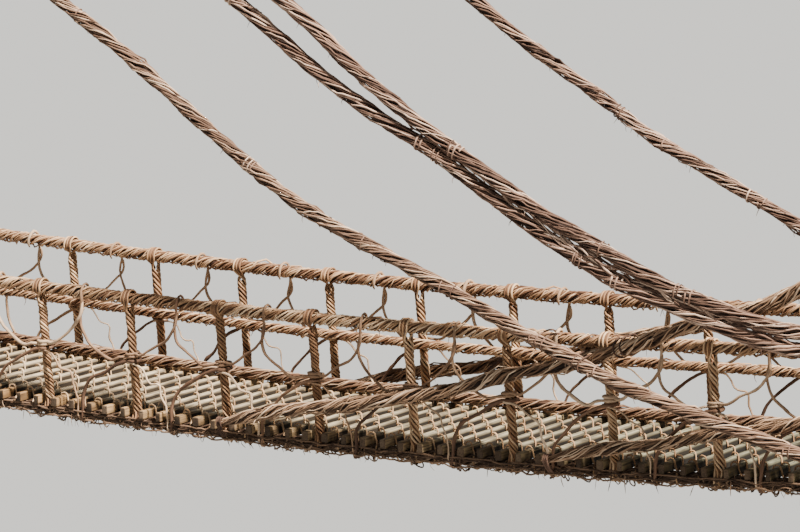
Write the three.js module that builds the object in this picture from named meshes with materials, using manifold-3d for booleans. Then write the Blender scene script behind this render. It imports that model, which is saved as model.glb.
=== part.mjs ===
// Rope suspension footbridge: nine whole bays of a bridge made of twisted vines.
// Millimetres. X runs along the bridge, Y across it, Z up.
// The origin is the middle of the flat underside of the left end beam.
import * as THREE from 'three';
import { mergeVertices } from 'three/addons/utils/BufferGeometryUtils.js';
import Module from 'manifold-3d';

const wasm = await Module();
wasm.setup();

const touchGap = 0.3;

// Deck: squared timbers laid across four bearer ropes.
const slatPitch = 209.4;
const slatsPerBay = 5;
const slatsPerPiece = 9;
const deckPieces = 6;
const slatLength = 2144;
const slatWidth = 92;
const slatThickness = 88;
const slatChamfer = 14;
const lashingRows = [-700, 700];
const lashingWidth = 34;
const lashingProud = 16;
const lashingSunk = 22;
const lashingSteps = 4;

// Sag: the deck follows a flat parabola with its low point left of the middle.
const sagRate = 0.000005;
const lowPointX = 4918;

// Bearer ropes under the deck, at even spacing.
const bearerRows = [-972, -324, 324, 972];
const bearerRadius = 50;
const bearerSeatGap = 0.7;
const bearerOverrun = 190;
const bearerSides = 6;
const bearerSteps = 22;
const bearerNames = ['near_edge_bearer', 'near_inner_bearer', 'far_inner_bearer', 'far_edge_bearer'];

// End beams: logs with a hewn flat underside, notched for the bearers.
const beamRadius = 115;
const beamLength = 2700;
const beamHewn = 20;
const beamSides = 12;
const bearerNotch = 25;
const beamSlotWidth = 150;
const beamSlotDepth = 20;
const cutterReach = 200;
const cutterMargin = 10;

// Railings: posts of bundled vines, looped over the top rails.
const stationCount = 10;
const railY = 972;
const nearRailHeight = 1061;
const farRailHeight = 1116;
const railRadius = 60;
const railOverrun = 230;
const railSides = 8;
const railSteps = 16;
const postRadius = 50;
const postLean = 94;
const collarLength = 130;
const collarThickness = 24;
const midRailHeight = 549;
const midRailRadius = 45;
const toeRopeRadius = 64;
const toeRopeOverrun = 120;

// Net of single vines outside the posts, tied into diamonds.
const netBar = 26;
const netSides = 4;
const netOverlap = 0.4;
const netKnotHeight = 560;
const netFootPlace = 0.4;

// Eyes at the rope ends, where the bridge is tied to whatever holds it up.
const eyeRadius = 104;
const eyeTube = 40;
const eyeTubeSides = 5;
const eyeSides = 8;

// Stays: each is a rope in a plane beside the railing, given as [along, up].
const staySides = 8;
const staySteps = 17;
const longStaySteps = 19;
const risingStaySteps = 16;
const lowStaySteps = 9;
const stayRadius = 65;
const bundleRadius = 68;
const lowStayRadius = 55;
const innerStayY = slatLength / 2 + stayRadius + touchGap;
const outerStayY = innerStayY + 2 * bundleRadius + 6;
const bedding = 3;
const railSideY = railY + railRadius + bundleRadius - bedding;
const farRailSideY = railY + railRadius + lowStayRadius - bedding;
const bundleRise = 2 * bundleRadius - bedding;
const longStayBedding = 42;
const upperStayClearance = 24;
const stackedPoints = 4;
const longSwing = [9950, 10850];
const bundleSwing = [10080, 10700];
const longStayInset = 6;
const besideRailX = [10700, 10900];

const longStayRoute = [
  [2300, 4385], [2600, 4200], [3520, 3620], [4200, 3140], [4760, 2760], [5320, 2420],
  [5970, 2140], [6720, 1850], [7450, 1535], [8070, 1290], [8680, 1060], [9080, 950],
  [9480, 840], [9870, 755], [10260, 645], [10480, 570], [10700, 480], [10900, 395],
];
const bundleRoute = [
  [4250, 4540], [4610, 4290], [5000, 4020], [5540, 3640], [6190, 3260], [6720, 3000],
  [7240, 2690], [7860, 2340], [8270, 2135], [8680, 1955], [9270, 1780], [9860, 1620],
  [10250, 1530], [10460, 1500],
];
const bundleUpperRoute = [
  [4800, 4560], [5160, 4310], [5540, 4040], [5860, 3780], [6400, 3420], [6820, 3160],
  [7450, 2800], [7860, 2560], [8470, 2280], [8970, 2050],
];
const farStayRoute = [
  [5290, 4420], [5650, 4180], [5980, 3950], [6530, 3600], [7080, 3290], [7620, 2950],
  [8150, 2700], [8680, 2450], [9200, 2200], [9700, 1950], [10150, 1720],
];
const risingStayRoute = [
  [4150, 200], [4360, 262], [4770, 380], [5220, 475], [5660, 550], [6100, 640],
  [6850, 810], [7430, 1000], [8100, 1170], [8810, 1420], [9200, 1590], [9500, 1690],
  [9980, 1840], [10170, 1920], [10360, 2025], [10620, 2165],
];
const lowStayRoute = [
  [7620, 190], [7800, 245], [8210, 370], [8620, 460], [9020, 530], [9510, 670],
  [9900, 735], [10190, 800], [10380, 855], [10640, 940],
];

const vine = { color: 0x9a6848, roughness: 0.85, metalness: 0 };
const greyVine = { color: 0x8d7264, roughness: 0.88, metalness: 0 };
const thinVine = { color: 0x7c5d47, roughness: 0.85, metalness: 0 };
const slatWood = { color: 0xa6a38a, roughness: 0.9, metalness: 0 };
const beamWood = { color: 0x7d6a55, roughness: 0.9, metalness: 0 };

const bayLength = slatPitch * slatsPerBay;
const slatCount = slatsPerPiece * deckPieces;
const rightBeamX = slatPitch * (slatCount - 1);

function sag(x) {
  return sagRate * (x - lowPointX) ** 2;
}

const stack = beamRadius - beamHewn + beamRadius - bearerNotch + 2 * bearerRadius;
const deckLowZ = stack + touchGap + bearerSeatGap + slatThickness - sag(0);

function deckTop(x) {
  return deckLowZ + sag(x);
}

function footX(station) {
  return slatPitch * (slatsPerBay + 0.5 + slatsPerBay * station);
}

// A line at a fixed height above the deck, following its sag.
class SagLine extends THREE.Curve {
  constructor(start, end, y, height) {
    super();
    this.start = start;
    this.end = end;
    this.y = y;
    this.height = height;
  }

  getPoint(t, target = new THREE.Vector3()) {
    const x = this.start + (this.end - this.start) * t;
    return target.set(x, this.y, deckTop(x) + this.height);
  }
}

// A regular polygon with flats above, below and at the sides; radius is to the flats.
function ropeSection(radius, sides) {
  const corner = radius / Math.cos(Math.PI / sides);
  const shape = new THREE.Shape();
  for (let i = 0; i < sides; i += 1) {
    const angle = Math.PI / 2 + Math.PI / sides + (i * 2 * Math.PI) / sides;
    const x = corner * Math.cos(angle);
    const y = corner * Math.sin(angle);
    if (i === 0) shape.moveTo(x, y);
    else shape.lineTo(x, y);
  }
  shape.closePath();
  return shape;
}

function ropeAlong(curve, radius, sides, steps) {
  return new THREE.ExtrudeGeometry(ropeSection(radius, sides), { steps, extrudePath: curve });
}

function ropeBetween(start, end, radius, sides) {
  return ropeAlong(new THREE.LineCurve3(start, end), radius, sides, 1);
}

function box(x0, x1, y0, y1, z0, z1) {
  const geometry = new THREE.BoxGeometry(x1 - x0, y1 - y0, z1 - z0);
  return geometry.translate((x0 + x1) / 2, (y0 + y1) / 2, (z0 + z1) / 2);
}

function solidOf(geometry) {
  const bare = geometry.clone();
  bare.deleteAttribute('normal');
  bare.deleteAttribute('uv');
  const merged = mergeVertices(bare, 0.001);
  return new wasm.Manifold(new wasm.Mesh({
    numProp: 3,
    vertProperties: Float32Array.from(merged.attributes.position.array),
    triVerts: Uint32Array.from(merged.index.array),
  }));
}

function geometryOf(solid) {
  const mesh = solid.getMesh();
  const geometry = new THREE.BufferGeometry();
  geometry.setAttribute('position', new THREE.BufferAttribute(mesh.vertProperties, 3));
  geometry.setIndex(new THREE.BufferAttribute(mesh.triVerts, 1));
  geometry.computeVertexNormals();
  return geometry;
}

function joined(solids) {
  return solids.reduce((sum, solid) => sum.add(solid));
}

const bridge = new THREE.Group();

function addPiece(name, geometry, finish) {
  const mesh = new THREE.Mesh(geometry, new THREE.MeshStandardMaterial(finish));
  mesh.name = name;
  bridge.add(mesh);
}

// A round eye in a vertical plane along the bridge, tied on past a rope's end.
function eyeAt(end, direction, tube = eyeTube) {
  const reach = direction.clone().normalize().multiplyScalar(eyeRadius + eyeTube / 4);
  const centre = end.clone().add(reach);
  const ring = new THREE.TorusGeometry(eyeRadius, tube, eyeTubeSides, eyeSides);
  ring.rotateX(Math.PI / 2);
  ring.rotateY(-Math.atan2(direction.z, direction.x) + Math.PI);
  return solidOf(ring.translate(centre.x, centre.y, centre.z));
}

function withEyes(curve, rope, atStart, atEnd) {
  let solid = solidOf(rope);
  if (atStart) {
    solid = solid.add(eyeAt(curve.getPoint(0), curve.getTangent(0).negate()));
  }
  if (atEnd) {
    solid = solid.add(eyeAt(curve.getPoint(1), curve.getTangent(1)));
  }
  return solid;
}

// Deck: slats joined by the lashing runs that pass over them.
function slatGeometry(x) {
  const slope = Math.atan(2 * sagRate * (x - lowPointX));
  const half = slatWidth / 2;
  const shape = new THREE.Shape();
  shape.moveTo(-half, -slatThickness);
  shape.lineTo(half, -slatThickness);
  shape.lineTo(half, -slatChamfer);
  shape.lineTo(half - slatChamfer, 0);
  shape.lineTo(slatChamfer - half, 0);
  shape.lineTo(-half, -slatChamfer);
  shape.closePath();
  const slat = new THREE.ExtrudeGeometry(shape, { depth: slatLength, bevelEnabled: false });
  slat.translate(0, 0, -slatLength / 2);
  slat.rotateX(Math.PI / 2);
  slat.rotateY(-slope);
  return slat.translate(x, 0, deckTop(x));
}

function lashingRun(start, end, y) {
  const shape = new THREE.Shape();
  const half = lashingWidth / 2;
  const run = new SagLine(start, end, y, (lashingProud - lashingSunk) / 2);
  const halfHeight = (lashingProud + lashingSunk) / 2;
  shape.moveTo(-half, -halfHeight);
  shape.lineTo(half, -halfHeight);
  shape.lineTo(half, halfHeight);
  shape.lineTo(-half, halfHeight);
  shape.closePath();
  return new THREE.ExtrudeGeometry(shape, { steps: lashingSteps, extrudePath: run });
}

function addDeck() {
  for (let piece = 0; piece < deckPieces; piece += 1) {
    const first = piece * slatsPerPiece;
    const solids = [];
    for (let i = first; i < first + slatsPerPiece; i += 1) {
      solids.push(solidOf(slatGeometry(i * slatPitch)));
    }
    const start = (first - 0.5) * slatPitch + touchGap / 2;
    const end = (first + slatsPerPiece - 0.5) * slatPitch - touchGap / 2;
    for (const y of lashingRows) {
      solids.push(solidOf(lashingRun(start, end, y)));
    }
    addPiece(`deck_slats_${piece + 1}`, geometryOf(joined(solids)), slatWood);
  }
}

function bearerCurve(y) {
  const depth = slatThickness + bearerSeatGap + bearerRadius;
  return new SagLine(-bearerOverrun, rightBeamX + bearerOverrun, y, -depth);
}

function addBearers() {
  bearerRows.forEach((y, i) => {
    const rope = ropeAlong(bearerCurve(y), bearerRadius, bearerSides, bearerSteps);
    addPiece(bearerNames[i], rope, vine);
  });
}

function railCurve(side) {
  const height = side < 0 ? nearRailHeight : farRailHeight;
  return new SagLine(-railOverrun, rightBeamX + railOverrun, side * railY, height);
}

function railCutter(side) {
  return solidOf(ropeAlong(railCurve(side), railRadius + touchGap, railSides, railSteps));
}

function bearerCutter(y) {
  return solidOf(ropeAlong(bearerCurve(y), bearerRadius + touchGap, bearerSides, bearerSteps));
}

function stayCurve(route, side, yOf) {
  const points = route.map(([x, z]) => new THREE.Vector3(x, side * yOf(x), z));
  return new THREE.CatmullRomCurve3(points, false, 'centripetal');
}

// How far a stay swings in from the outer plane to lie beside the rail or the deck.
function swing(x, [from, to], innerY) {
  const t = THREE.MathUtils.smoothstep(x, from, to);
  return outerStayY + (innerY - outerStayY) * t;
}

function beamAxisZ(x) {
  return deckTop(x) - slatThickness - bearerSeatGap - 2 * bearerRadius + bearerNotch
    - touchGap - beamRadius;
}

const longStayRest = beamAxisZ(rightBeamX) + beamRadius + stayRadius - longStayBedding;
const longStayEnd = [
  [rightBeamX - 60, longStayRest + 12],
  [rightBeamX + 60, longStayRest],
  [rightBeamX + 170, longStayRest],
];
const stayY = {
  long: (x) => swing(x, longSwing, innerStayY + longStayInset),
  bundle: (x) => swing(x, bundleSwing, railSideY),
  far: (x) => swing(x, bundleSwing, farRailSideY),
  inner: () => innerStayY,
};
const longStay = stayCurve([...longStayRoute, ...longStayEnd], -1, stayY.long);
const stayEndX = rightBeamX + 130;

function besideRail(height, rise) {
  return [...besideRailX, stayEndX].map((x) => [x, deckTop(x) + height + rise]);
}

function addStays() {
  const long = ropeAlong(longStay, stayRadius, staySides, longStaySteps);
  addPiece('near_long_stay', geometryOf(withEyes(longStay, long, true, false)), greyVine);

  const lowerPoints = [...bundleRoute, ...besideRail(nearRailHeight, 0)];
  const lower = stayCurve(lowerPoints, -1, stayY.bundle);
  const lowerRope = withEyes(lower, ropeAlong(lower, bundleRadius, staySides, staySteps), true, false);
  addPiece('near_bundle_stay_lower', geometryOf(lowerRope.subtract(railCutter(-1))), greyVine);

  const stackedRise = bundleRise + upperStayClearance;
  const stacked = bundleRoute.slice(-stackedPoints).map(([x, z]) => [x, z + stackedRise]);
  const upperPoints = [...bundleUpperRoute, ...stacked, ...besideRail(nearRailHeight, bundleRise)];
  const upper = stayCurve(upperPoints, -1, stayY.bundle);
  const lowerCutter = solidOf(ropeAlong(lower, bundleRadius + touchGap, staySides, staySteps));
  const upperRope = withEyes(upper, ropeAlong(upper, bundleRadius, staySides, staySteps), true, false);
  addPiece('near_bundle_stay_upper', geometryOf(upperRope.subtract(lowerCutter)), greyVine);

  const far = stayCurve([...farStayRoute, ...besideRail(farRailHeight, 0)], 1, stayY.far);
  const farRope = withEyes(far, ropeAlong(far, lowStayRadius, staySides, staySteps), true, false);
  addPiece('far_long_stay', geometryOf(farRope.subtract(railCutter(1))), greyVine);

  const nearRising = stayCurve(risingStayRoute, -1, stayY.inner);
  const nearRope = ropeAlong(nearRising, stayRadius, staySides, risingStaySteps);
  addPiece('near_rising_stay', geometryOf(withEyes(nearRising, nearRope, false, true)), greyVine);

  const farRising = stayCurve(risingStayRoute, 1, stayY.inner);
  const farRisingRope = ropeAlong(farRising, stayRadius, staySides, risingStaySteps);
  addPiece('far_rising_stay', geometryOf(withEyes(farRising, farRisingRope, false, true)), greyVine);

  const low = stayCurve(lowStayRoute, -1, () => slatLength / 2 + lowStayRadius + touchGap);
  const lowRope = solidOf(ropeAlong(low, lowStayRadius, staySides, lowStaySteps));
  const eyePlace = [low.getPoint(1), low.getTangent(1)];
  const eyeCutter = eyeAt(...eyePlace, eyeTube + touchGap);
  addPiece('near_low_stay', geometryOf(lowRope.subtract(eyeCutter)), greyVine);
  addPiece('near_low_stay_eye', geometryOf(eyeAt(...eyePlace)), greyVine);
}

function addBeam(name, x) {
  const axisZ = beamAxisZ(x);
  const log = new THREE.CylinderGeometry(
    beamRadius / Math.cos(Math.PI / beamSides),
    beamRadius / Math.cos(Math.PI / beamSides),
    beamLength,
    beamSides,
  );
  log.rotateY(Math.PI / beamSides);
  log.translate(x, 0, axisZ);
  const half = beamLength / 2;
  const base = axisZ - beamRadius + beamHewn;
  let beam = solidOf(log);
  const under = box(
    x - cutterReach, x + cutterReach,
    -half - cutterMargin, half + cutterMargin,
    base - beamRadius, base,
  );
  beam = beam.subtract(solidOf(under));
  for (const y of bearerRows) {
    const slot = box(
      x - cutterReach, x + cutterReach,
      y - beamSlotWidth / 2, y + beamSlotWidth / 2,
      base - cutterMargin, base + beamSlotDepth,
    );
    beam = beam.subtract(solidOf(slot)).subtract(bearerCutter(y));
  }
  if (x > 0) {
    const stayCutter = ropeAlong(longStay, stayRadius + touchGap, staySides, longStaySteps);
    beam = beam.subtract(solidOf(stayCutter));
  }
  addPiece(name, geometryOf(beam), beamWood);
}

function addRails() {
  for (const side of [-1, 1]) {
    const curve = railCurve(side);
    const rope = ropeAlong(curve, railRadius, railSides, railSteps);
    const name = side < 0 ? 'near_top_rail' : 'far_top_rail';
    addPiece(name, geometryOf(withEyes(curve, rope, true, true)), vine);
  }
  const midY = railY - postRadius - midRailRadius - touchGap;
  const mid = new SagLine(-railOverrun, rightBeamX + railOverrun, midY, midRailHeight);
  const midRope = ropeAlong(mid, midRailRadius, railSides, railSteps);
  addPiece('far_mid_rail', geometryOf(withEyes(mid, midRope, true, true)), vine);

  const toeY = railY - postRadius - toeRopeRadius - touchGap;
  const toeEnd = rightBeamX + toeRopeOverrun;
  const toe = new SagLine(-toeRopeOverrun, toeEnd, toeY, toeRopeRadius + bearerSeatGap);
  addPiece('far_toe_rope', ropeAlong(toe, toeRopeRadius, railSides, railSteps), vine);
}

// A post stands on the edge bearer between two slats and loops over the top rail.
function postGeometry(station, side, rail, edgeBearer) {
  const y = side * railY;
  const foot = footX(station);
  const head = foot - postLean;
  const height = side < 0 ? nearRailHeight : farRailHeight;
  const footDepth = slatThickness + bearerRadius;
  const footShift = (postLean * (footDepth - slatThickness / 2)) / height;
  const footPoint = new THREE.Vector3(foot + footShift, y, deckTop(foot) - footDepth);
  const headPoint = new THREE.Vector3(head, y, deckTop(head) + height);
  const column = solidOf(ropeBetween(footPoint, headPoint, postRadius, railSides));
  const collarCurve = new SagLine(head - collarLength / 2, head + collarLength / 2, y, height);
  const collar = solidOf(ropeAlong(collarCurve, railRadius + collarThickness, railSides, 1));
  return geometryOf(column.add(collar).subtract(rail).subtract(edgeBearer));
}

function addPosts() {
  for (const side of [-1, 1]) {
    const prefix = side < 0 ? 'near' : 'far';
    const rail = railCutter(side);
    const edgeBearer = bearerCutter(side * railY);
    for (let station = 0; station < stationCount; station += 1) {
      const geometry = postGeometry(station, side, rail, edgeBearer);
      addPiece(`${prefix}_post_${station + 1}`, geometry, vine);
    }
  }
}

// One bar of the net, run on a little at both ends so that crossings fuse.
function netStrand(start, end) {
  const along = end.clone().sub(start).normalize().multiplyScalar(netBar * netOverlap);
  const shape = ropeSection(netBar / 2, netSides);
  const line = new THREE.LineCurve3(start.clone().sub(along), end.clone().add(along));
  return solidOf(new THREE.ExtrudeGeometry(shape, { steps: 1, extrudePath: line }));
}

function netGeometry(side) {
  const height = side < 0 ? nearRailHeight : farRailHeight;
  const y = side * (railY + railRadius + touchGap + netBar / 2);
  const at = (x, up) => new THREE.Vector3(x, y, deckTop(x) + up);
  const solids = [];
  for (let bay = 0; bay < stationCount - 1; bay += 1) {
    const left = footX(bay) - postLean / 2;
    const right = left + bayLength;
    const footPlace = footX(bay) + bayLength * netFootPlace;
    const top = at((left + right) / 2, height);
    const foot = at(footPlace, 0);
    const heel = at(footPlace, -slatThickness - bearerRadius);
    const leftKnot = at(left, netKnotHeight);
    const rightKnot = at(right, netKnotHeight);
    solids.push(netStrand(top, leftKnot), netStrand(top, rightKnot));
    solids.push(netStrand(leftKnot, foot), netStrand(rightKnot, foot));
    solids.push(netStrand(foot, heel));
  }
  return geometryOf(joined(solids));
}

addDeck();
addBearers();
addBeam('left_end_beam', 0);
addBeam('right_end_beam', rightBeamX);
addRails();
addPosts();
addPiece('near_net', netGeometry(-1), thinVine);
addPiece('far_net', netGeometry(1), thinVine);
addStays();

export default bridge;
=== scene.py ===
import math
import random

import bpy
import numpy as np
from mathutils import Matrix, Vector


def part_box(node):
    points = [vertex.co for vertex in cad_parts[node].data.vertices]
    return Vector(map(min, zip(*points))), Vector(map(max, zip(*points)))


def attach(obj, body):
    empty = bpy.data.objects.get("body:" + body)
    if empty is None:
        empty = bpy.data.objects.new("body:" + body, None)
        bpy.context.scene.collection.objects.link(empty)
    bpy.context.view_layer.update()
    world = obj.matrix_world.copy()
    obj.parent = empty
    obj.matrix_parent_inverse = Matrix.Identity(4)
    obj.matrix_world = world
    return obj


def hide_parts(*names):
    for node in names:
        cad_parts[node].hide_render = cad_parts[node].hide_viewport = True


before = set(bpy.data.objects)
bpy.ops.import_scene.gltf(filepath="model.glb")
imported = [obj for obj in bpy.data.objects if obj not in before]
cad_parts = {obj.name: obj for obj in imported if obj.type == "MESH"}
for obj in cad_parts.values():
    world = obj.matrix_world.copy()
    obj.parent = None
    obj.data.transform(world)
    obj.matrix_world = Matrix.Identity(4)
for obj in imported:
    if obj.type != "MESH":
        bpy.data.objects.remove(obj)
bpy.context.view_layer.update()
print("frame loaded:", len(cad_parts), "nodes")


# The deck's line: the same flat parabola as the solids, in metres.
deck = {
    "slatPitch": 0.2094, "slatsPerBay": 5, "slatCount": 54, "slatsPerPiece": 9,
    "slatLength": 2.144, "slatWidth": 0.092, "slatThickness": 0.088,
    "sagRate": 0.005, "lowPointX": 4.918, "lowZ": 0.25307,
    "railY": 0.972, "nearRailHeight": 1.061, "farRailHeight": 1.116,
    "postLean": 0.094, "stationCount": 10, "bearerDepth": 0.1387, "bearerRows": (-0.972, -0.324, 0.324, 0.972),
}
rightBeamX = deck["slatPitch"] * (deck["slatCount"] - 1)


def deckTop(x):
    return deck["lowZ"] + deck["sagRate"] * (x - deck["lowPointX"]) ** 2


def footX(station):
    return deck["slatPitch"] * (deck["slatsPerBay"] * (station + 1) + 0.5)


def railHeight(side):
    return deck["nearRailHeight"] if side < 0 else deck["farRailHeight"]


def railPlace(side, x):
    return np.array([x, side * deck["railY"], deckTop(x) + railHeight(side)])


def bearerPlace(side, x):
    return np.array([x, side * deck["railY"], deckTop(x) - deck["bearerDepth"]])


# Camera: a long lens from the near right, a little above the rails.
cameraSettings = {
    "target": (5.62, 0.0, 1.712), "distance": 37.8, "azimuth": 31.43, "elevation": 8.69, "lens": 178.97,
    "sensorWidth": 36.0, "clipEnd": 500.0,
}


def placeCamera():
    azimuth = math.radians(cameraSettings["azimuth"])
    elevation = math.radians(cameraSettings["elevation"])
    target = Vector(cameraSettings["target"])
    outward = Vector((
        math.sin(azimuth) * math.cos(elevation), -math.cos(azimuth) * math.cos(elevation), math.sin(elevation),
    ))
    bpy.ops.object.camera_add(location=target + outward * cameraSettings["distance"])
    camera = bpy.context.object
    camera.rotation_euler = (-outward).to_track_quat("-Z", "Y").to_euler()
    camera.data.lens = cameraSettings["lens"]
    camera.data.sensor_width = cameraSettings["sensorWidth"]
    camera.data.clip_end = cameraSettings["clipEnd"]
    bpy.context.scene.camera = camera


placeCamera()
print("camera placed")


# Studio: a pale floor well below the hanging bridge, one soft high sun and a bright sky.
studio = {
    "floorSize": 500.0, "floorPlace": (5.0, 60.0, -2.4), "floorColor": (0.185, 0.187, 0.185, 1.0),
    "floorRoughness": 0.95, "sunFrom": (0.56, -0.15, 0.81), "sunPlace": (0, 0, 12), "sunPower": 19.5, "sunAngle": 4.5,
    "sunColor": (1.0, 0.96, 0.9), "skyPower": 0.4, "skyColor": (0.86, 0.93, 1.0, 1.0),
}


def makeStudio():
    bpy.ops.mesh.primitive_plane_add(size=studio["floorSize"], location=studio["floorPlace"])
    floor = bpy.context.object
    floor.name = "paleFloor"
    paint = bpy.data.materials.new("floorPaint")
    paint.use_nodes = True
    shader = paint.node_tree.nodes["Principled BSDF"]
    shader.inputs["Base Color"].default_value = studio["floorColor"]
    shader.inputs["Roughness"].default_value = studio["floorRoughness"]
    floor.data.materials.append(paint)
    bpy.ops.object.light_add(type="SUN", location=studio["sunPlace"])
    sun = bpy.context.object
    sun.rotation_euler = Vector(studio["sunFrom"]).to_track_quat("Z", "Y").to_euler()
    sun.data.energy = studio["sunPower"]
    sun.data.angle = math.radians(studio["sunAngle"])
    sun.data.color = studio["sunColor"]
    world = bpy.data.worlds.new("softSky")
    world.use_nodes = True
    sky = world.node_tree.nodes["Background"]
    sky.inputs["Color"].default_value = studio["skyColor"]
    sky.inputs["Strength"].default_value = studio["skyPower"]
    bpy.context.scene.world = world


makeStudio()
print("studio ready")


# Materials. Vines read two attributes of their own: grain follows each vine, tone is its shade.
white = (1.0, 1.0, 1.0)
relief = {"depth": 0.004, "specular": 0.25}


def newMaterial(name, roughness):
    material = bpy.data.materials.new(name)
    material.use_nodes = True
    shader = material.node_tree.nodes["Principled BSDF"]
    shader.inputs["Roughness"].default_value = roughness
    shader.inputs["Specular IOR Level"].default_value = relief["specular"]
    return material, material.node_tree, shader


def addNode(tree, kind, **values):
    node = tree.nodes.new(kind)
    for key, value in values.items():
        setattr(node, key, value)
    return node


def rampNode(tree, stops):
    node = tree.nodes.new("ShaderNodeValToRGB")
    elements = node.color_ramp.elements
    while len(elements) < len(stops):
        elements.new(0.5)
    for element, (position, color) in zip(elements, stops):
        element.position = position
        element.color = (*color, 1.0)
    return node


def noiseNode(tree, vector, scale, detail=3.0, roughness=0.55):
    node = tree.nodes.new("ShaderNodeTexNoise")
    node.inputs["Scale"].default_value = scale
    node.inputs["Detail"].default_value = detail
    node.inputs["Roughness"].default_value = roughness
    tree.links.new(vector, node.inputs["Vector"])
    return node


def mappingNode(tree, vector, scale):
    node = tree.nodes.new("ShaderNodeMapping")
    node.inputs["Scale"].default_value = scale
    tree.links.new(vector, node.inputs["Vector"])
    return node.outputs["Vector"]


def mixColor(tree, factor, first, second, blend="MIX"):
    node = tree.nodes.new("ShaderNodeMix")
    node.data_type = "RGBA"
    node.blend_type = blend
    if isinstance(factor, float):
        node.inputs[0].default_value = factor
    else:
        tree.links.new(factor, node.inputs[0])
    for value, socket in ((first, node.inputs[6]), (second, node.inputs[7])):
        if isinstance(value, tuple):
            socket.default_value = (*value, 1.0)
        else:
            tree.links.new(value, socket)
    return node.outputs[2]


def mathNode(tree, operation, first, second=None):
    node = addNode(tree, "ShaderNodeMath", operation=operation)
    for index, value in enumerate((first, second)):
        if value is None:
            continue
        if isinstance(value, (int, float)):
            node.inputs[index].default_value = value
        else:
            tree.links.new(value, node.inputs[index])
    return node.outputs[0]


def bumpNode(tree, shader, height, strength):
    bump = addNode(tree, "ShaderNodeBump")
    bump.inputs["Strength"].default_value = strength
    bump.inputs["Distance"].default_value = relief["depth"]
    tree.links.new(height, bump.inputs["Height"])
    tree.links.new(bump.outputs["Normal"], shader.inputs["Normal"])


vineLook = {
    "roughness": 0.82, "fibreScale": (9.0, 3.2, 3.2), "patchScale": (3.5, 0.5, 0.5), "spotScale": (22.0, 2.5, 2.5),
    "toneShare": 0.72, "patchShare": 0.42, "shadeStops": (0.12, 0.42, 0.72, 0.98),
    "fibreStops": ((0.36, (0.34, 0.3, 0.28)), (0.54, (0.9, 0.9, 0.9)), (0.7, (1.25, 1.2, 1.15))), "fibreShare": 0.85,
    "spotStops": ((0.3, (0.55, 0.5, 0.48)), (0.45, white)), "spotShare": 0.5, "spotRelief": 0.35, "relief": 0.7,
}


def vineMaterial(name, *shades):
    material, tree, shader = newMaterial(name, vineLook["roughness"])
    grain = addNode(tree, "ShaderNodeAttribute", attribute_name="grain").outputs["Vector"]
    tone = addNode(tree, "ShaderNodeAttribute", attribute_name="tone").outputs["Fac"]
    fibres = noiseNode(tree, mappingNode(tree, grain, vineLook["fibreScale"]), 1.0, 4.0, 0.65).outputs["Fac"]
    patches = noiseNode(tree, mappingNode(tree, grain, vineLook["patchScale"]), 1.0, 2.0).outputs["Fac"]
    spots = noiseNode(tree, mappingNode(tree, grain, vineLook["spotScale"]), 1.0, 2.0).outputs["Fac"]
    ownShade = mathNode(tree, "MULTIPLY", tone, vineLook["toneShare"])
    shade = mathNode(tree, "ADD", ownShade, mathNode(tree, "MULTIPLY", patches, vineLook["patchShare"]))
    base = rampNode(tree, tuple(zip(vineLook["shadeStops"], shades)))
    tree.links.new(shade, base.inputs["Fac"])
    lines = rampNode(tree, vineLook["fibreStops"])
    tree.links.new(fibres, lines.inputs["Fac"])
    color = mixColor(tree, vineLook["fibreShare"], base.outputs["Color"], lines.outputs["Color"], "MULTIPLY")
    flecks = rampNode(tree, vineLook["spotStops"])
    tree.links.new(spots, flecks.inputs["Fac"])
    color = mixColor(tree, vineLook["spotShare"], color, flecks.outputs["Color"], "MULTIPLY")
    tree.links.new(color, shader.inputs["Base Color"])
    height = mathNode(tree, "ADD", fibres, mathNode(tree, "MULTIPLY", spots, vineLook["spotRelief"]))
    bumpNode(tree, shader, height, vineLook["relief"])
    return material


# Wood: grain lines, stains, a shade of its own for each bar, and painted shade, darker and greyer toward the right
# end.
woodLook = {
    "roughness": 0.85, "stainScale": (6.0, 2.5, 6.0), "grainStops": (0.3, 0.55), "stainStops": (0.35, 0.6),
    "stainShare": 0.8, "shades": ((0.0, (0.08, 0.062, 0.047)), (0.5, (0.6, 0.56, 0.51)), (1.0, (1.15, 1.12, 1.06))),
    "rightPerMetre": 0.09, "rightStops": (0.15, 0.85), "tintStops": (0.1, 0.55), "endStops": (0.74, 0.82),
    "endWander": 0.16, "endScale": 0.87, "relief": 0.6,
}


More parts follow.
